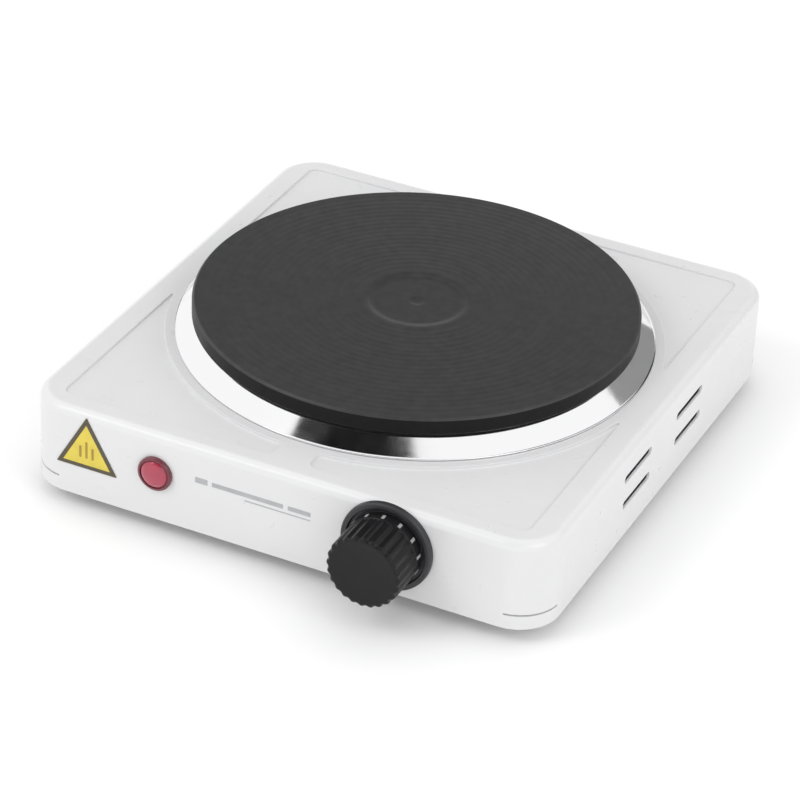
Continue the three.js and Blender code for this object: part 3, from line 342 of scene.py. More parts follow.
class Look:
    """A procedural finish: a shader whose colour, gloss and relief come from object-space noise."""

    def __init__(self, name, base, rough, **sockets):
        self.material = bpy.data.materials.new(name)
        self.material.use_nodes = True
        self.tree = self.material.node_tree
        self.shader = self.tree.nodes["Principled BSDF"]
        self.shader.inputs["Base Color"].default_value = (*base, 1)
        self.shader.inputs["Roughness"].default_value = rough
        self.base, self.rough = Vector(base), rough
        for socket, value in sockets.items():
            self.shader.inputs[socket.replace("_", " ")].default_value = value
        self.place = self.node("ShaderNodeTexCoord").outputs["Object"]
        self.relief = None

    def node(self, kind, **settings):
        made = self.tree.nodes.new(kind)
        for key, value in settings.items():
            setattr(made, key, value)
        return made

    def link(self, source, target):
        self.tree.links.new(source, target)

    def noise(self, size, detail=2.0, stretch=None):
        made = self.node("ShaderNodeTexNoise")
        made.inputs["Scale"].default_value = 1 / size
        made.inputs["Detail"].default_value = detail
        source = self.place
        if stretch:
            fit = self.node("ShaderNodeMapping")
            fit.inputs["Scale"].default_value = stretch
            self.link(source, fit.inputs["Vector"])
            source = fit.outputs["Vector"]
        self.link(source, made.inputs["Vector"])
        return made.outputs["Fac"]

    def rings(self, centre, pitch):
        """Fine rings about an upright axis through a point."""
        fit = self.node("ShaderNodeMapping", vector_type="POINT")
        fit.inputs["Location"].default_value = -Vector(centre)
        self.link(self.place, fit.inputs["Vector"])
        made = self.node(
            "ShaderNodeTexWave", wave_type="RINGS", rings_direction="Z", wave_profile="SIN")
        made.inputs["Scale"].default_value = 2 * math.pi / (20 * pitch)
        made.inputs["Distortion"].default_value = 0.4
        made.inputs["Detail"].default_value = 2
        self.link(fit.outputs["Vector"], made.inputs["Vector"])
        return made.outputs["Fac"]

    def raise_by(self, source, height):
        """Adds a relief of that height to the surface."""
        bump = self.node("ShaderNodeBump")
        bump.inputs["Distance"].default_value = height
        bump.inputs["Strength"].default_value = 1
        self.link(source, bump.inputs["Height"])
        if self.relief:
            self.link(self.relief, bump.inputs["Normal"])
        self.relief = bump.outputs["Normal"]
        self.link(self.relief, self.shader.inputs["Normal"])
        return self

    def vary_gloss(self, source, spread):
        fit = self.node("ShaderNodeMapRange")
        fit.inputs["From Min"].default_value = 0.3
        fit.inputs["From Max"].default_value = 0.7
        fit.inputs["To Min"].default_value = max(self.rough - spread, 0.02)
        fit.inputs["To Max"].default_value = self.rough + spread
        self.link(source, fit.inputs["Value"])
        self.link(fit.outputs["Result"], self.shader.inputs["Roughness"])
        return self

    def vary_colour(self, source, spread, other=None):
        ramp = self.node("ShaderNodeValToRGB")
        dark = Vector(other) if other else self.base * (1 - spread)
        light = self.base if other else self.base * (1 + spread)
        ramp.color_ramp.elements[0].position = 0.35
        ramp.color_ramp.elements[0].color = (*dark, 1)
        ramp.color_ramp.elements[1].position = 0.65
        ramp.color_ramp.elements[1].color = (*(min(c, 1) for c in light), 1)
        self.link(source, ramp.inputs["Fac"])
        self.link(ramp.outputs["Color"], self.shader.inputs["Base Color"])
        return self


def enamel(name, base):
    look = Look(name, base, 0.32, Coat_Weight=0.25, Coat_Roughness=0.12)
    look.raise_by(look.noise(7 * MM, 0), 0.012 * MM)
    look.vary_gloss(look.noise(9 * MM), 0.05)
    look.vary_colour(look.noise(45 * MM), 0.012)
    return look.material


def cast_iron(name, base, shine=0.34):
    look = Look(name, base, 0.42, Specular_IOR_Level=shine)
    look.raise_by(look.noise(0.7 * MM, 4), 0.02 * MM)
    look.raise_by(look.rings(PLATE_AXIS, 0.85 * MM), 0.012 * MM)
    look.vary_gloss(look.noise(12 * MM, 3), 0.03)
    look.vary_colour(look.noise(4 * MM, 4), 0.1)
    return look.material


def bright_metal(name, base, rough, grain=0.004):
    look = Look(name, base, rough, Metallic=1.0)
    look.raise_by(look.noise(3 * MM), grain * MM)
    look.vary_gloss(look.noise(8 * MM), rough * 0.25)
    return look.material


def sheet_metal(name, base, rough):
    look = Look(name, base, rough, Metallic=1.0)
    look.raise_by(look.noise(1.2 * MM, 3, (1, 12, 12)), 0.004 * MM)
    look.vary_gloss(look.noise(10 * MM, 3), 0.08)
    look.vary_colour(look.noise(18 * MM, 3), 0.06)
    return look.material


def moulded(name, base, rough, grain=0.012, shine=0.5):
    look = Look(name, base, rough, Specular_IOR_Level=shine)
    look.raise_by(look.noise(0.45 * MM, 3), grain * MM)
    look.vary_gloss(look.noise(3 * MM), 0.05)
    look.vary_colour(look.noise(6 * MM, 3), 0.06)
    return look.material


def glossy_lens(name, base, rough=0.16):
    look = Look(name, base, rough, Coat_Weight=0.6, Coat_Roughness=0.05)
    look.raise_by(look.noise(1.5 * MM), 0.006 * MM)
    look.vary_colour(look.noise(4 * MM), 0.05)
    return look.material


def rough_body(name, base, rough, size, height):
    look = Look(name, base, rough)
    look.raise_by(look.noise(size * MM, 5), height * MM)
    look.vary_colour(look.noise(size * 4 * MM, 4), 0.1)
    look.vary_gloss(look.noise(size * 2 * MM), 0.04)
    return look.material


def make_finishes(scene):
    housing, plate, controls = scene.burner_housing, scene.burner_plate, scene.burner_controls
    FINISHES.update({
        "white_enamel": enamel("white_enamel", housing.enamel),
        "cast_iron": cast_iron("cast_iron", plate.iron),
        # A darker, duller copy of the plate's iron for its side and underside: painted shade that
        # makes the rim look darker than the top.
        "iron_rim_painted_shade": cast_iron("iron_rim_painted_shade", [c * 0.2 for c in plate.iron], 0.15),
        "chrome": bright_metal("chrome", plate.chrome, 0.09),
        "steel": sheet_metal("steel", (0.46, 0.47, 0.48), 0.36),
        "aluminium": sheet_metal("aluminium", (0.58, 0.60, 0.61), 0.42),
        "brass": bright_metal("brass", (0.54, 0.36, 0.09), 0.3, 0.008),
        "knob_plastic": moulded("knob_plastic", controls.plastic, 0.33, shine=0.22),
        "black_plastic": moulded("black_plastic", [c * 3 for c in controls.plastic], 0.42),
        "white_plastic": moulded("white_plastic", (0.68, 0.68, 0.63), 0.5),
        "red_lens": glossy_lens("red_lens", controls.lens),
        "rubber": moulded("rubber", (0.017, 0.017, 0.017), 0.82, 0.03),
        "ceramic": rough_body("ceramic", (0.74, 0.70, 0.60), 0.6, 0.8, 0.02),
        "cement": rough_body("cement", (0.39, 0.37, 0.33), 0.92, 1.2, 0.09),
        "yellow_film": moulded("yellow_film", controls.sticker, 0.45, 0.004),
        "brown_sleeve": moulded("brown_sleeve", (0.10, 0.042, 0.021), 0.55),
        "blue_sleeve": moulded("blue_sleeve", (0.02, 0.07, 0.30), 0.55),
        "green_sleeve": moulded("green_sleeve", (0.05, 0.26, 0.05), 0.55),
        # A darker copy of the lens red for the rim round the dome: painted shade in place of the
        # shading at the rim's groove.
        "lens_rim_painted_shade": glossy_lens("lens_rim_painted_shade", [c * 0.35 for c in controls.lens], 0.3),
        "dark_border": moulded("dark_border", controls.border, 0.5, 0.004),
        "warm_bars": moulded("warm_bars", (0.36, 0.24, 0.035), 0.5, 0.004),
        "grey_print": moulded("grey_print", controls.print, 0.5, 0.004),
        "pale_print": moulded("pale_print", controls.mark_colour, 0.5, 0.004),
    })


# ---- housing ---------------------------------------------------------------------------------
OVERCUT = 5 * MM                     # how far a cutter reaches past the sheet
VENT_ROWS = (15.5 * MM, 27.5 * MM)   # above the housing's lower edge
TONGUE_SHEET, TONGUE_REACH = 0.8 * MM, 3.4 * MM
SLIT_LOW, SLIT_HIGH = 6 * MM, 6.8 * MM
HOLE_UNDER_PLATE = PLATE_RADIUS - 5.5 * MM
BUSHING_HOLE, LAMP_HOLE, GLAND_HOLE = 5.3 * MM, 6 * MM, 7.3 * MM
FOOT_HOLE, EARTH_HOLE = 2.2 * MM, 2.3 * MM
PAN_FOLD = 1.5 * MM
PAN_CORNER_INSET = 1.3 * MM          # the pan's corners against the housing's
PAN_VENT_HALF = (16 * MM, 2 * MM, 3 * MM)
PAN_VENTS_FROM = (-46 * MM, -24 * MM)  # the first vent, from the plate's axis
PAN_VENT_ROWS = ((3, (46 * MM, 0, 0)), (4, (0, 16 * MM, 0)))
SHARP_TURN = 0.7                     # radians; rounded corners turn by less per step


def panel_cutter(side, end, h):
    """One pressed panel between the ring's land and a corner of the housing."""
    reach = h.edge + 20 * MM
    x_near, x_far = h.panel_gap / 2, SHELL_SIZE.x / 2 - h.panel_side
    y_far = (BACK if end > 0 else -FRONT) - h.panel_end
    y_near = end * PLATE_AXIS.y + h.panel_side_gap / 2 + 3 * MM
    xs, ys = sorted((side * x_near, side * x_far)), sorted((end * y_near, end * y_far))
    cutter = block("panel", (xs[0], ys[0], TOP - h.panel_depth), (xs[1], ys[1], TOP + reach))
    land = RING_FOOT + h.panel_land
    band = abs(end * y_far - PLATE_AXIS.y) - math.sqrt(land ** 2 - x_near ** 2)
    upright = along(2)

    def round_at(offset, axis, value):
        """Rounds the upright edges that still turn sharply, at one x or y."""
        round_edges(offset, 8, lambda e: upright(e) and near(e.verts[0].co[axis], value)
                    and e.calc_face_angle(0) > SHARP_TURN)
    edit(cutter)
    round_edges(h.panel_corner, 8, lambda e: upright(e) and near(e.verts[0].co.y, end * y_far)
                and near(e.verts[0].co.x, side * x_far))
    round_at(min(h.panel_corner, 0.4 * band), 0, side * x_near)
    done()
    carve(cutter, rod("land", land, PLATE_AXIS + UP * (TOP - reach),
                      PLATE_AXIS + UP * (TOP + 2 * reach), 128))
    edit(cutter)
    round_at(min(2 * MM, 0.4 * band), 0, side * x_near)
    round_at(0.5 * MM, 1, end * y_near)
    done()
    return cutter


def side_slot(y, z, h):
    """One vent with round ends, right through both sides."""
    half = Vector((SHELL_SIZE.x / 2 + OVERCUT, h.slot_length / 2, h.slot_height / 2))
    centre = Vector((0, y, z))
    cutter = block("slot", centre - half, centre + half)
    edit(cutter)
    round_edges(h.slot_height / 2 - 0.01 * MM, 8, along(0))
    done()
    return cutter


def vent_baffle(side, y, z, h):
    """The tongue bent inwards from a vent's upper edge, which keeps fingers out."""
    wall = side * (SHELL_SIZE.x / 2 - h.sheet + 0.2 * MM)
    xs = sorted((wall, wall - side * TONGUE_SHEET))
    half, rise = h.slot_length / 2 - MM, h.slot_height
    tongue = block("tongue", (xs[0], y - half, z - rise), (xs[1], y + half, z + rise))
    edit(tongue)
    pick("VERT", lambda v: v.co.z < z)
    bpy.ops.transform.translate(value=(-side * TONGUE_REACH, 0, 0))
    done()
    return tongue


def corner_slits(h):
    """Narrow relief slits low on the four corners."""
    reach, low, high = h.corner - 2 * MM, SHELL_LOW.z + SLIT_LOW, SHELL_LOW.z + SLIT_HIGH
    slits = []
    for x, sx in ((SHELL_LOW.x, 1), (SHELL_HIGH.x, -1)):
        for y, sy in ((FRONT, 1), (BACK, -1)):
            xs = sorted((x - sx * OVERCUT, x + sx * reach))
            ys = sorted((y - sy * OVERCUT, y + sy * reach))
            slits.append(block("slit", (xs[0], ys[0], low), (xs[1], ys[1], high)))
    return slits


class BURNER_OT_housing(bpy.types.Operator):
    """Presses the enamelled housing with its panels, vents and holes"""
    bl_idname = "burner.housing"
    bl_label = "Housing"

    def execute(self, context):
        h = context.scene.burner_housing
        shell = block("housing", SHELL_LOW, SHELL_HIGH)
        edit(shell)
        round_edges(h.corner, 20, along(2))
        round_edges(h.edge, 8, lambda e: all(near(v.co.z, TOP) for v in e.verts))
        done()
        for side in (-1, 1):
            for end in (-1, 1):
                carve(shell, panel_cutter(side, end, h))
        inner = SHELL_SIZE / 2 - Vector((h.edge + MM, h.edge + MM, 0))

        def pressed(e):
            """An edge of a pressed panel, at the top or at its floor."""
            inside = all(
                abs(v.co.x - SHELL_CENTRE.x) < inner.x and abs(v.co.y - SHELL_CENTRE.y) < inner.y
                and v.co.z > TOP - 2 * h.panel_depth for v in e.verts)
            flat = near(e.verts[0].co.z, e.verts[1].co.z)
            return inside and flat and len(e.link_faces) == 2 and e.calc_face_angle() > 0.5
        edit(shell)
        round_edges(h.press_radius, 3, pressed)
        pick("FACE", lambda f: f.normal.z < -0.9 and near(f.calc_center_median().z, SHELL_LOW.z))
        bpy.ops.mesh.delete(type="FACE")
        done()
        apply_modifier(shell, "SOLIDIFY", thickness=h.sheet, offset=-1, use_even_offset=True)
        under, over = TOP - 8 * MM, TOP + OVERCUT
        cutters = [rod("plate_hole", HOLE_UNDER_PLATE, PLATE_AXIS + UP * under,
                       PLATE_AXIS + UP * over, 128)]
        vents = [(SHELL_CENTRE.y + side * h.slot_spread / 2, SHELL_LOW.z + row)
                 for side in (-1, 1) for row in VENT_ROWS]
        cutters += [side_slot(y, z, h) for y, z in vents]
        cutters += corner_slits(h)
        bushing, lamp = on_front("dial_bezel"), on_front("lamp_lens")
        gland = middle("cord_gland")
        gland.y = BACK
        reach = FORWARD * OVERCUT
        for spot, radius in ((bushing, BUSHING_HOLE), (lamp, LAMP_HOLE), (gland, GLAND_HOLE)):
            cutters.append(rod("hole", radius, spot + reach, spot - reach, 48))
        carve(shell, *cutters)
        shell = join(shell, *(vent_baffle(side, y, z, h) for y, z in vents for side in (-1, 1)))
        smooth(shell)
        paint(shell, FINISHES["white_enamel"])
        settle_on(shell, "housing", "white_enamel", "housing_shell")
        return {"FINISHED"}


class BURNER_OT_base(bpy.types.Operator):
    """Folds the base pan with its vents, under the housing"""
    bl_idname = "burner.base"
    bl_label = "Base pan"

    def execute(self, context):
        h = context.scene.burner_housing
        pan = block("base_pan", PAN_LOW, PAN_HIGH)
        edit(pan)
        round_edges(h.corner - PAN_CORNER_INSET, 16, along(2))
        round_edges(PAN_FOLD, 4, lambda e: all(near(v.co.z, PAN_LOW.z) for v in e.verts))
        pick("FACE", lambda f: f.normal.z > 0.9)
        bpy.ops.mesh.delete(type="FACE")
        done()
        apply_modifier(pan, "SOLIDIFY", thickness=h.sheet, offset=-1, use_even_offset=True)
        first = PLATE_AXIS + Vector((*PAN_VENTS_FROM, PAN_LOW.z))
        half = Vector(PAN_VENT_HALF)
        vents = block("vents", first - half, first + half)
        edit(vents)
        round_edges(PAN_VENT_HALF[1] - 0.01 * MM, 6, along(2))
        done()
        for count, pitch in PAN_VENT_ROWS:
            apply_modifier(vents, "ARRAY", count=count, use_relative_offset=False,
                           use_constant_offset=True, constant_offset_displace=pitch)
        cutters = [vents]

        def drill(radius, spot):
            cutters.append(rod("hole", radius, (spot.x, spot.y, PAN_LOW.z - MM),
                               (spot.x, spot.y, PAN_LOW.z + 3 * MM), 32))
        for corner in CORNERS:
            bracket_low, bracket_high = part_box(f"corner_bracket_{corner}")
            foot = middle(f"foot_{corner}")
            room = Vector((MM, 0.3 * MM, 0))
            side = math.copysign(1, foot.x)
            edge = sorted((side * (SHELL_SIZE.x / 2 - 3.8 * MM), side * SHELL_SIZE.x / 2))
            low = Vector((edge[0], bracket_low.y, PAN_LOW.z + h.sheet)) - room
            high = (edge[1] + MM, bracket_high.y + room.y, PAN_HIGH.z + MM)
            cutters.append(block("notch", low, high))
            drill(FOOT_HOLE, foot)
        drill(EARTH_HOLE, middle("earth_screw"))
        carve(pan, *cutters)
        smooth(pan)
        paint(pan, FINISHES["white_enamel"])
        settle_on(pan, "housing", "white_enamel", "base_plate")
        return {"FINISHED"}


# ---- plate and ring --------------------------------------------------------------------------
PLATE_SKIN = 4.2 * MM         # iron above the hollow for the coil
HUB_RADIUS = 21 * MM
STUD_BORE, STUD_ROOF = 4.3 * MM, 5.2 * MM
BODY_WALL = 5 * MM
BEVEL = 0.9 * MM              # on the plate's upper edge
RING_SKIN = 0.7 * MM
RING_BEAD = 0.5 * MM
RING_NECK = PLATE_RADIUS - 1.4 * MM


class BURNER_OT_plate(bpy.types.Operator):
    """Turns the cast iron plate with its ringed face and hollow underside"""
    bl_idname = "burner.plate"
    bl_label = "Cooking plate"

    def execute(self, context):
        p = context.scene.burner_plate
        rim = PLATE_TOP - p.rim
        body = PLATE_RADIUS - p.overhang
        floor = PLATE_TOP - p.dimple_depth
        outline = [
            (0, floor - 0.3 * MM), (2.2 * MM, floor - 0.25 * MM, 0.8 * MM),
            (3.4 * MM, floor, 0.8 * MM),
            (p.dimple - 2.6 * MM, floor, 1.2 * MM), (p.dimple, PLATE_TOP, 1.2 * MM),
        ]
        start, end = p.dimple + 2.6 * MM, PLATE_RADIUS - 3 * MM
        count = int((end - start) / p.groove_pitch)
        for i in range(count * 4 + 1):
            dip = p.groove_depth * (0.5 - 0.5 * math.cos(i * math.pi / 2))
            outline.append((start + i * p.groove_pitch / 4, PLATE_TOP - dip))
        outline += [
            (PLATE_RADIUS - BEVEL, PLATE_TOP, 0.25 * MM),
            (PLATE_RADIUS, PLATE_TOP - BEVEL, 0.3 * MM),
            (PLATE_RADIUS, rim, 0.7 * MM), (body, rim, 0.8 * MM), (body, BODY_BOTTOM, 0.5 * MM),
            (body - BODY_WALL, BODY_BOTTOM, 0.5 * MM),
            (body - BODY_WALL, PLATE_TOP - PLATE_SKIN, MM),
            (HUB_RADIUS, PLATE_TOP - PLATE_SKIN, MM), (HUB_RADIUS, BODY_BOTTOM, 0.5 * MM),
            (STUD_BORE, BODY_BOTTOM), (STUD_BORE, PLATE_TOP - STUD_ROOF),
            (0, PLATE_TOP - STUD_ROOF),
        ]
        plate = turned("cooking_plate", outline, PLATE_AXIS, steps=192)
        smooth(plate, 40)
        paint(plate, FINISHES["cast_iron"], FINISHES["iron_rim_painted_shade"])

        # The faces on the plate's side and underside, which get the darker iron: painted shade.
        def on_shade_painted_rim(f):
            spot = f.calc_center_median() - PLATE_AXIS
            flat = Vector((spot.x, spot.y)).length
            return flat > body - 0.2 * MM and spot.z < PLATE_TOP - MM
        paint_faces(plate, 1, on_shade_painted_rim)
        settle_on(plate, "housing", "cast_iron", "hotplate_casting")
        return {"FINISHED"}


class BURNER_OT_ring(bpy.types.Operator):
    """Spins the bright flared ring between the plate and the housing"""
    bl_idname = "burner.ring"
    bl_label = "Trim ring"

    def execute(self, context):
        overhang = context.scene.burner_plate.overhang
        top, foot = RING_HIGH.z, RING_LOW.z
        lip = PLATE_RADIUS - overhang + 0.8 * MM
        flare = RING_FOOT - RING_BEAD
        outline = [
            (lip, top), (RING_NECK - 0.8 * MM, top, 0.3 * MM),
            (RING_NECK, top - 0.8 * MM, 0.4 * MM), (flare, foot + 0.6 * MM, 0.3 * MM),
            (RING_FOOT, foot + 0.5 * MM, 0.15 * MM), (RING_FOOT, foot, 0.15 * MM),
            (flare - RING_SKIN, foot), (RING_NECK - 1.3 * MM, top - RING_SKIN),
            (lip, top - RING_SKIN), (lip, top)]
        ring = turned("chrome_ring", outline, PLATE_AXIS, steps=192)
        smooth(ring, 50)
        paint(ring, FINISHES["chrome"])
        settle_on(ring, "housing", "chrome", "trim_ring")
        return {"FINISHED"}


# ---- dial ------------------------------------------------------------------------------------
# Each step is a distance in mm and a resize of what it ends in.
KNOB_SIDE = ((0.5, 1), (3.4, 1), (0.3, 0.985), (0.3, 1), (0.3, 1.015), (13.3, 1), (0.7, 0.985),
             (0.45, 0.965), (0.25, 0.94), (-0.1, 0.93), (-0.3, 0.7), (-0.15, 0.4))
KNOB_HOLLOW = ((0, 0.86), (14, 1), (0, 0.5), (-13, 1))
KNOB_SKIRT = 4.4 * MM                  # smooth length behind the flutes
STEPS_PER_FLUTE = 8
MARK_WIDTH, MARK_THICKNESS = 1.3 * MM, 0.34 * MM
MARK_SHORTEST, MARK_GROWTH = 1.3, 2.2  # mm
MARK_SWEEP = 270                       # degrees
BEZEL_RIM, BEZEL_FLOOR = 2.4 * MM, 1.2 * MM
SCREW_HOLE = 1.9 * MM


def fluted_knob(c, centre):
    """Extrudes a scalloped outline forward, rounds its face and hollows its back."""
    sides = c.flutes * STEPS_PER_FLUTE
    start = centre + FORWARD * KNOB_BACK
    clear()
    bpy.ops.mesh.primitive_circle_add(
        vertices=sides, radius=KNOB_RADIUS, fill_type="NGON", location=start,
        rotation=(math.pi / 2, 0, 0))
    knob = settle("dial_knob")

    def step(distance, scale=1.0):
        """Extrudes the selected face forward, or backward if negative, and resizes its end."""
        bpy.ops.mesh.extrude_region_move(TRANSFORM_OT_translate={"value": FORWARD * distance * MM})
        bpy.ops.transform.resize(value=(scale, 1, scale), center_override=centre)

    edit(knob)
    for distance, scale in KNOB_SIDE:
        step(distance, scale)
    pick("FACE", lambda f: len(f.verts) > 8 and f.calc_center_median().y > start.y - 0.1 * MM)
    for distance, scale in KNOB_HOLLOW:
        step(distance, scale)
    fluted_from = start.y - KNOB_SKIRT
    fluted_radius = 0.9 * KNOB_RADIUS
    for index in range(1, STEPS_PER_FLUTE):
        depth = c.flute_depth * (0.5 - 0.5 * math.cos(2 * math.pi * index / STEPS_PER_FLUTE))
        scale = 1 - depth / KNOB_RADIUS

        def in_flute(v):
            spot = v.co - centre
            turn = math.atan2(spot.x, spot.z) / (2 * math.pi)
            return (round(turn * sides) % STEPS_PER_FLUTE == index and v.co.y < fluted_from
                    and math.hypot(spot.x, spot.z) > fluted_radius)
        pick("VERT", in_flute)
        bpy.ops.transform.resize(value=(scale, 1, scale), center_override=centre)
    tidy()
    done()
    return knob


def knob_marks(c, centre):
    """Pale marks that lengthen round the knob, like a power scale."""
    marks = []
    for i in range(c.marks):
        turn = math.radians(MARK_SWEEP * i / (c.marks - 1) - MARK_SWEEP / 2)
        long = (MARK_SHORTEST + MARK_GROWTH * i / (c.marks - 1)) * MM
        radial = Vector((math.sin(turn), 0, math.cos(turn)))
        across = Vector((math.cos(turn), 0, -math.sin(turn)))
        clear()
        bpy.ops.mesh.primitive_cube_add(size=1, scale=(MARK_WIDTH, long, MARK_THICKNESS))
        mark = settle("mark")
        edit(mark)
        round_edges(0.06 * MM, 2, along(1))
        done()
        spot = centre + radial * (KNOB_RADIUS - 0.12 * MM) + FORWARD * (KNOB_BACK + 2.2 * MM)
        mark.matrix_world = Matrix((
            (across.x, 0, radial.x, spot.x), (0, 1, 0, spot.y),
            (across.z, 0, radial.z, spot.z), (0, 0, 0, 1)))
        only(mark)
        marks.append(settle("mark"))
    marks = join(*marks)
    marks.name = "knob_marks"
    return marks


class BURNER_OT_dial(bpy.types.Operator):
    """Moulds the dial's surround, its fluted knob and the marks on it"""
    bl_idname = "burner.dial"
    bl_label = "Dial"

    def execute(self, context):
        c = context.scene.burner_controls
        centre = on_front("dial_bezel")
        depth = FRONT - BEZEL_LOW.y
        back = FRONT - BEZEL_HIGH.y
        recess, floor, bore = BEZEL_RADIUS - BEZEL_RIM, BEZEL_FLOOR, BUSHING_HOLE
        surround = turned("dial_surround", [
            (bore, back), (BEZEL_RADIUS, back, 0.1 * MM), (BEZEL_RADIUS, depth, 0.9 * MM),
            (recess, depth, 0.35 * MM), (recess, floor, 0.3 * MM),
            (recess - 1.4 * MM, floor), (recess - 1.6 * MM, floor + 0.35 * MM, 0.1 * MM),
            (recess - 2.2 * MM, floor + 0.35 * MM, 0.1 * MM), (recess - 2.4 * MM, floor),
            (bore, floor, 0.2 * MM), (bore, back)], centre, FORWARD, 128)
        for screw in ("thermostat_screw_left", "thermostat_screw_right"):
            spot = on_front(screw)
            outer, inner = spot + FORWARD * 4 * MM, spot - FORWARD * MM
            carve(surround, rod("hole", SCREW_HOLE, outer, inner, 32))
        smooth(surround)
        paint(surround, FINISHES["black_plastic"])
        settle_on(surround, "housing", "black_plastic", "dial_bezel")
        knob = fluted_knob(c, centre)
        smooth(knob, 32)
        paint(knob, FINISHES["knob_plastic"])
        settle_on(knob, "dial", "black_plastic", "control_knob")
        marks = knob_marks(c, centre)
        smooth(marks)
        paint(marks, FINISHES["pale_print"])
        settle_on(marks, "dial", "white_plastic")
        return {"FINISHED"}


# ---- lamp, sticker and print -----------------------------------------------------------------
SEAT = 0.15 * MM                       # what sits on a wall stands this far off it
LAMP_BARREL = 5.7 * MM
LAMP_DOME_FROM = 1.35 * MM
FILM, BORDER = 0.3 * MM, 1.7 * MM      # the triangle's thickness and the width of its border
# Bars in mm: sideways shift, lower and upper end above the triangle's base.
TRIANGLE_BARS = ((-2.8, 4.8, 10.2), (0, 4.8, 12.6), (2.8, 4.8, 10.2))
# Bars in mm: left, right, lower and upper edge on the front wall.
PRINTED_BARS = ((-36, -30.4, 30.2, 32.8), (-28.5, 3, 30.4, 32.4), (5, 15, 30.4, 32.4),
                (-14, 15, 28.4, 29))


class BURNER_OT_lamp(bpy.types.Operator):
    """Moulds the pilot lamp's red window with its rim and domed face"""
    bl_idname = "burner.lamp"
    bl_label = "Pilot lamp"

    def execute(self, context):
        centre = on_front("lamp_lens")
        barrel_end = FRONT - LENS_HIGH.y
        rim = LENS_RADIUS - 1.3 * MM
        outline = [
            (0, barrel_end), (LAMP_BARREL, barrel_end, 0.3 * MM), (LAMP_BARREL, SEAT),
            (LENS_RADIUS, SEAT), (LENS_RADIUS, 1.7 * MM, 0.5 * MM),
            (rim + 0.1 * MM, 1.9 * MM, 0.2 * MM), (rim, 1.3 * MM)]
        steps = 8
        for i in range(steps + 1):
            turn = i / steps * math.pi / 2
            outline.append((max(rim - 0.3 * MM, 0) * math.cos(turn),
                            LAMP_DOME_FROM + (LENS_REACH - LAMP_DOME_FROM) * math.sin(turn)))
        outline[-1] = (0, LENS_REACH)
        lens = turned("lamp_window", outline, centre, FORWARD, 96)
        smooth(lens, 40)
        paint(lens, FINISHES["red_lens"], FINISHES["lens_rim_painted_shade"])

        # The rim faces round the dome, which get the darker red: painted shade.
        def on_shade_painted_rim(f):
            spot = f.calc_center_median() - centre
            return Vector((spot.x, spot.z)).length > rim - 0.25 * MM
        paint_faces(lens, 1, on_shade_painted_rim)
        settle_on(lens, "housing", "red_lens", "lamp_lens")
        return {"FINISHED"}


def film(name, low, high, rounding):
    """A thin printed film with rounded corners, just proud of the front wall."""
    piece = block(name, low, high)
    edit(piece)
    round_edges(rounding, 5, along(1))
    done()
    return piece


class BURNER_OT_labels(bpy.types.Operator):
    """Lays the plain triangle and the plain printed bars on the front wall"""
    bl_idname = "burner.labels"
    bl_label = "Triangle and print"

    def execute(self, context):
        width = context.scene.burner_controls.sticker_width
        radius = width / math.sqrt(3)
        height = 1.5 * radius
        base = Vector((middle("triangle_sticker").x, STICKER_HIGH.y, STICKER_LOW.z - 0.8 * MM))
        clear()
        bpy.ops.mesh.primitive_circle_add(
            vertices=3, radius=radius, fill_type="NGON", location=base + UP * height / 3,
            rotation=(math.pi / 2, 0, 0))
        triangle = settle("triangle_label")
        edit(triangle)
        bpy.ops.mesh.extrude_region_move(TRANSFORM_OT_translate={"value": FORWARD * FILM})
        bpy.ops.mesh.inset(thickness=BORDER)
        bpy.ops.mesh.extrude_region_move(TRANSFORM_OT_translate={"value": BACKWARD * 0.04 * MM})
        upright = along(1)
        round_edges(0.4 * MM, 4, lambda e: upright(e) and e.calc_length() > 0.2 * MM)
        tidy()
        done()
        paint(triangle, FINISHES["dark_border"], FINISHES["yellow_film"])
        seen = STICKER_HIGH.y - FILM + 0.02 * MM
        inner_area = 0.2 * height * width
        paint_faces(triangle, 1, lambda f: f.normal.y < -0.9 and f.calc_area() > inner_area)
        settle_on(triangle, "housing", "yellow_film", "triangle_sticker")
        bars = []
        for shift, low, high in TRIANGLE_BARS:
            spot = base + Vector((shift * MM, 0, 0))
            bars.append(film("bar", (spot.x - 0.5 * MM, seen - 0.05 * MM, spot.z + low * MM),
                             (spot.x + 0.5 * MM, seen + 0.04 * MM, spot.z + high * MM), 0.45 * MM))
        bars = join(*bars)
        bars.name = "triangle_bars"
        paint(bars, FINISHES["warm_bars"])
        smooth(bars)
        settle_on(bars, "housing", "yellow_film")
        printed = []
        for x0, x1, z0, z1 in PRINTED_BARS:
            printed.append(film("print", (x0 * MM, FRONT - 0.05 * MM, z0 * MM),
                                (x1 * MM, FRONT + 0.05 * MM, z1 * MM), 0.28 * MM))
        printed = join(*printed)
        printed.name = "printed_bars"
        paint(printed, FINISHES["grey_print"])
        smooth(printed)
        settle_on(printed, "housing", "white_enamel")
        return {"FINISHED"}


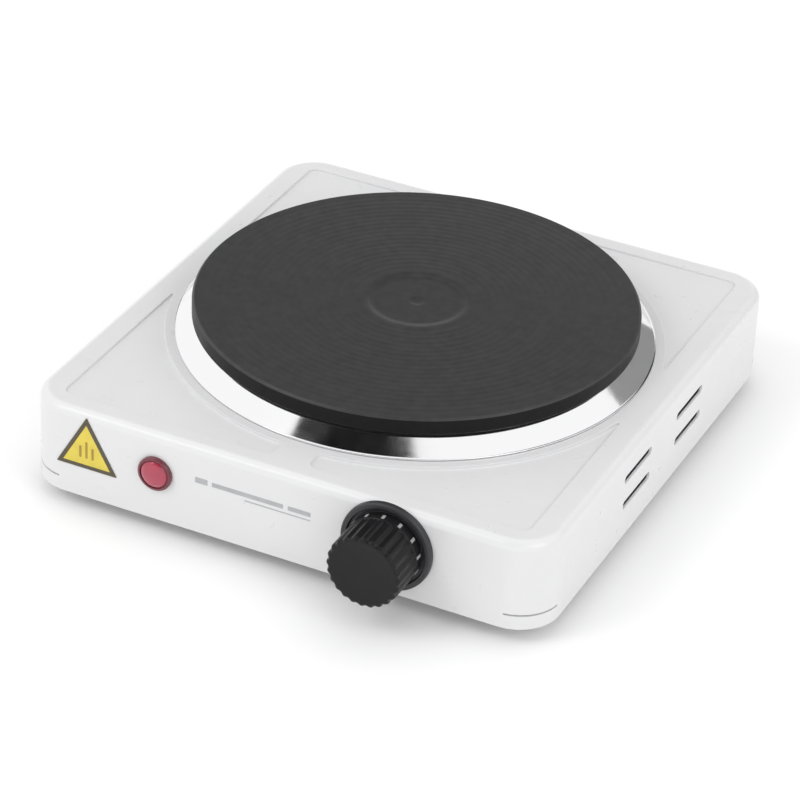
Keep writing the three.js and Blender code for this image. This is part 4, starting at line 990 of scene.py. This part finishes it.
# ---- feet and inlet --------------------------------------------------------------------------
class BURNER_OT_feet(bpy.types.Operator):
    """Moulds one rubber foot with its screw and copies them to the four corners"""
    bl_idname = "burner.feet"
    bl_label = "Feet and screws"

    def execute(self, context):
        low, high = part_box("foot_front_left")
        radius = (high.x - low.x) / 2
        axis = Vector((low.x + radius, (low.y + high.y) / 2, 0))
        screw_low, screw_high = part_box("foot_screw_front_left")
        well, well_top = 4.5 * MM, 3.6 * MM
        foot = turned("rubber_foot_front_left", [
            (FOOT_HOLE, high.z), (radius, high.z, 0.3 * MM), (radius, high.z - 2 * MM, 0.3 * MM),
            (radius - 1.3 * MM, 1.2 * MM), (radius - 1.5 * MM, 0, 0.6 * MM),
            (radius - 3 * MM, 0, 0.1 * MM), (radius - 3.2 * MM, 0.3 * MM),
            (radius - 3.6 * MM, 0.3 * MM), (radius - 3.8 * MM, 0, 0.1 * MM),
            (well, 0, 0.4 * MM), (well, well_top),
            (FOOT_HOLE, well_top), (FOOT_HOLE, high.z)], axis, UP, 64)
        smooth(foot, 40)
        paint(foot, FINISHES["rubber"])
        head, shank = (screw_high.x - screw_low.x) / 2, 1.9 * MM
        under = well_top - 0.3 * MM
        screw = turned("pan_screw_front_left", [
            (0, screw_low.z), (head * 0.6, screw_low.z + 0.15 * MM, 0.6 * MM),
            (head, screw_low.z + 1.1 * MM, 0.3 * MM), (head, under), (shank, under),
            (shank, screw_high.z - MM), (shank - 0.8 * MM, screw_high.z), (0, screw_high.z)],
            axis, UP, 48)
        for w, d in ((2.1, 0.45), (0.45, 2.1)):
            half = Vector((w * MM, d * MM, 0))
            carve(screw, block("cross", axis - half + UP * (screw_low.z - MM),
                               axis + half + UP * (screw_low.z + 1.2 * MM)))
        smooth(screw)
        paint(screw, FINISHES["steel"])
        for corner in CORNERS:
            centre = middle(f"foot_{corner}")
            shift = Vector((centre.x - axis.x, centre.y - axis.y, 0))
            pair = (foot, screw)
            if corner != CORNERS[0]:
                pair = (copy_to(foot, f"rubber_foot_{corner}", shift),
                        copy_to(screw, f"pan_screw_{corner}", shift))
            settle_on(pair[0], "housing", "rubber", f"foot_{corner}")
            settle_on(pair[1], "housing", "steel", f"foot_screw_{corner}")
        return {"FINISHED"}


class BURNER_OT_inlet(bpy.types.Operator):
    """Moulds the gland in the rear wall that the mains lead passes through"""
    bl_idname = "burner.inlet"
    bl_label = "Inlet gland"

    def execute(self, context):
        centre = middle("cord_gland")
        centre.y = BACK
        flange = (GLAND_HIGH.x - GLAND_LOW.x) / 2
        reach, end = GLAND_HIGH.y - BACK, GLAND_LOW.y - BACK
        bore, barrel = 4.2 * MM, 7 * MM
        gland = turned("inlet_gland", [
            (bore, end, 0.3 * MM), (barrel, end, 0.5 * MM), (barrel, SEAT),
            (flange, SEAT), (flange, reach - MM, 0.2 * MM), (flange - MM, reach, 0.4 * MM),
            (5.4 * MM, reach, 0.5 * MM), (bore, reach - MM, 0.4 * MM), (bore, end)],
            centre, BACKWARD, 96)
        smooth(gland)
        paint(gland, FINISHES["black_plastic"])
        settle_on(gland, "housing", "black_plastic", "cord_gland")
        return {"FINISHED"}


class BURNER_OT_insides(bpy.types.Operator):
    """Gives every part inside the housing its own finish"""
    bl_idname = "burner.insides"
    bl_label = "Inner parts"

    def execute(self, context):
        for part in frame["record"]["subparts"]:
            paint(frame["nodes"][part["node"]], FINISHES[part["material_slot"]])
        return {"FINISHED"}


# ---- stage -----------------------------------------------------------------------------------
AIM = (0, 0, 30 * MM)
CAMERA_PLACE = (521.73 * MM, -1141.65 * MM, 800.59 * MM)
CAMERA_AZIMUTH, CAMERA_ELEVATION, CAMERA_ROLL = 24.53, 31.87, 2.81  # degrees
CAMERA_LENS, CAMERA_SENSOR = 160.56, 36


def matt(name, grey):
    look = Look(name, (grey, grey, grey), 0.9, Specular_IOR_Level=0.1)
    look.vary_colour(look.noise(0.6), 0.002)
    return look.material


def card(name, spot, aim, width, height, look):
    """A flat card that faces a point and only shows in bright surfaces."""
    spot, aim = Vector(spot), Vector(aim)
    clear()
    turn = (aim - spot).to_track_quat("Z", "Y").to_euler()
    bpy.ops.mesh.primitive_plane_add(size=1, location=spot, rotation=turn)
    bpy.context.object.scale = (width, height, 1)
    piece = settle(name)
    paint(piece, look)
    for ray in ("visible_camera", "visible_diffuse", "visible_shadow", "visible_transmission"):
        setattr(piece, ray, False)


def soft_light(name, spot, aim, size, power):
    clear()
    spot, aim = Vector(spot), Vector(aim)
    bpy.ops.object.light_add(
        type="AREA", location=spot, rotation=(aim - spot).to_track_quat("-Z", "Y").to_euler())
    light = bpy.context.object
    light.name = name
    light.data.shape = "DISK"
    light.data.size = size
    light.data.energy = power


class BURNER_OT_stage(bpy.types.Operator):
    """Sets the floor, the soft light and the camera"""
    bl_idname = "burner.stage"
    bl_label = "Stage"

    def execute(self, context):
        scene = context.scene
        clear()
        bpy.ops.mesh.primitive_plane_add(size=12, location=(0, 0, -0.02 * MM))
        floor = settle("floor")
        paint(floor, matt("pale_floor", 0.93))
        world = bpy.data.worlds.new("studio")
        world.use_nodes = True
        world.node_tree.nodes["Background"].inputs["Color"].default_value = (1, 1, 1, 1)
        world.node_tree.nodes["Background"].inputs["Strength"].default_value = 1.0
        scene.world = world
        scene.view_settings.view_transform = "Standard"
        soft_light("key", (-0.9, -1.1, 1.5), AIM, 0.9, 7)
        soft_light("fill", (1.2, -0.5, 0.9), AIM, 0.8, 3)
        black, grey = matt("black_card", 0.004), matt("grey_card", 0.25)
        card("front_card", (-0.05, -0.7, 0.8), AIM, 1, 1, black)
        card("rear_card", (-0.27, 0.62, 0.8), (-0.27, 0, 0.8), 1, 1, black)
        card("side_card", (0.358, 0.659, 0.25), (0, 0, 0.25), 0.56, 0.5, grey)
        clear()
        bpy.ops.object.camera_add(location=CAMERA_PLACE)
        camera = context.object
        camera.name = "camera"
        azimuth, elevation, roll = (
            math.radians(turn) for turn in (CAMERA_AZIMUTH, CAMERA_ELEVATION, CAMERA_ROLL))
        back = Vector((math.sin(azimuth) * math.cos(elevation),
                       -math.cos(azimuth) * math.cos(elevation), math.sin(elevation)))
        level = Vector((math.cos(azimuth), math.sin(azimuth), 0))
        upright = back.cross(level)
        right = level * math.cos(roll) + upright * math.sin(roll)
        above = upright * math.cos(roll) - level * math.sin(roll)
        camera.rotation_euler = Matrix((right, above, back)).transposed().to_euler()
        camera.data.lens, camera.data.sensor_width = CAMERA_LENS, CAMERA_SENSOR
        camera.data.clip_start, camera.data.clip_end = 0.05, 60
        scene.camera = camera
        return {"FINISHED"}


class BURNER_PT_panel(bpy.types.Panel):
    """Lists the burner's pieces and their sizes"""
    bl_idname = "BURNER_PT_panel"
    bl_label = "Hot plate burner"
    bl_space_type = "VIEW_3D"
    bl_region_type = "UI"
    bl_category = "Burner"

    def draw(self, context):
        for group in ("burner_housing", "burner_plate", "burner_controls"):
            settings = getattr(context.scene, group)
            for key in settings.bl_rna.properties.keys():
                if key not in ("rna_type", "name"):
                    self.layout.prop(settings, key)
        for step in STEPS:
            self.layout.operator(step.bl_idname)


STEPS = (
    BURNER_OT_insides, BURNER_OT_housing, BURNER_OT_base, BURNER_OT_plate, BURNER_OT_ring,
    BURNER_OT_dial, BURNER_OT_lamp, BURNER_OT_labels, BURNER_OT_feet, BURNER_OT_inlet,
    BURNER_OT_stage,
)
GROUPS = {
    "burner_housing": BurnerHousing,
    "burner_plate": BurnerPlate,
    "burner_controls": BurnerControls,
}


def register():
    for item in (*GROUPS.values(), *STEPS, BURNER_PT_panel):
        bpy.utils.register_class(item)
    for name, group in GROUPS.items():
        setattr(bpy.types.Scene, name, bpy.props.PointerProperty(type=group))


def unregister():
    for name in GROUPS:
        delattr(bpy.types.Scene, name)
    for item in reversed((*GROUPS.values(), *STEPS, BURNER_PT_panel)):
        bpy.utils.unregister_class(item)


def main():
    register()
    make_finishes(bpy.context.scene)
    for step in STEPS:
        getattr(bpy.ops.burner, step.bl_idname.split(".")[1])()
    clear()


if __name__ == "__main__":
    main()
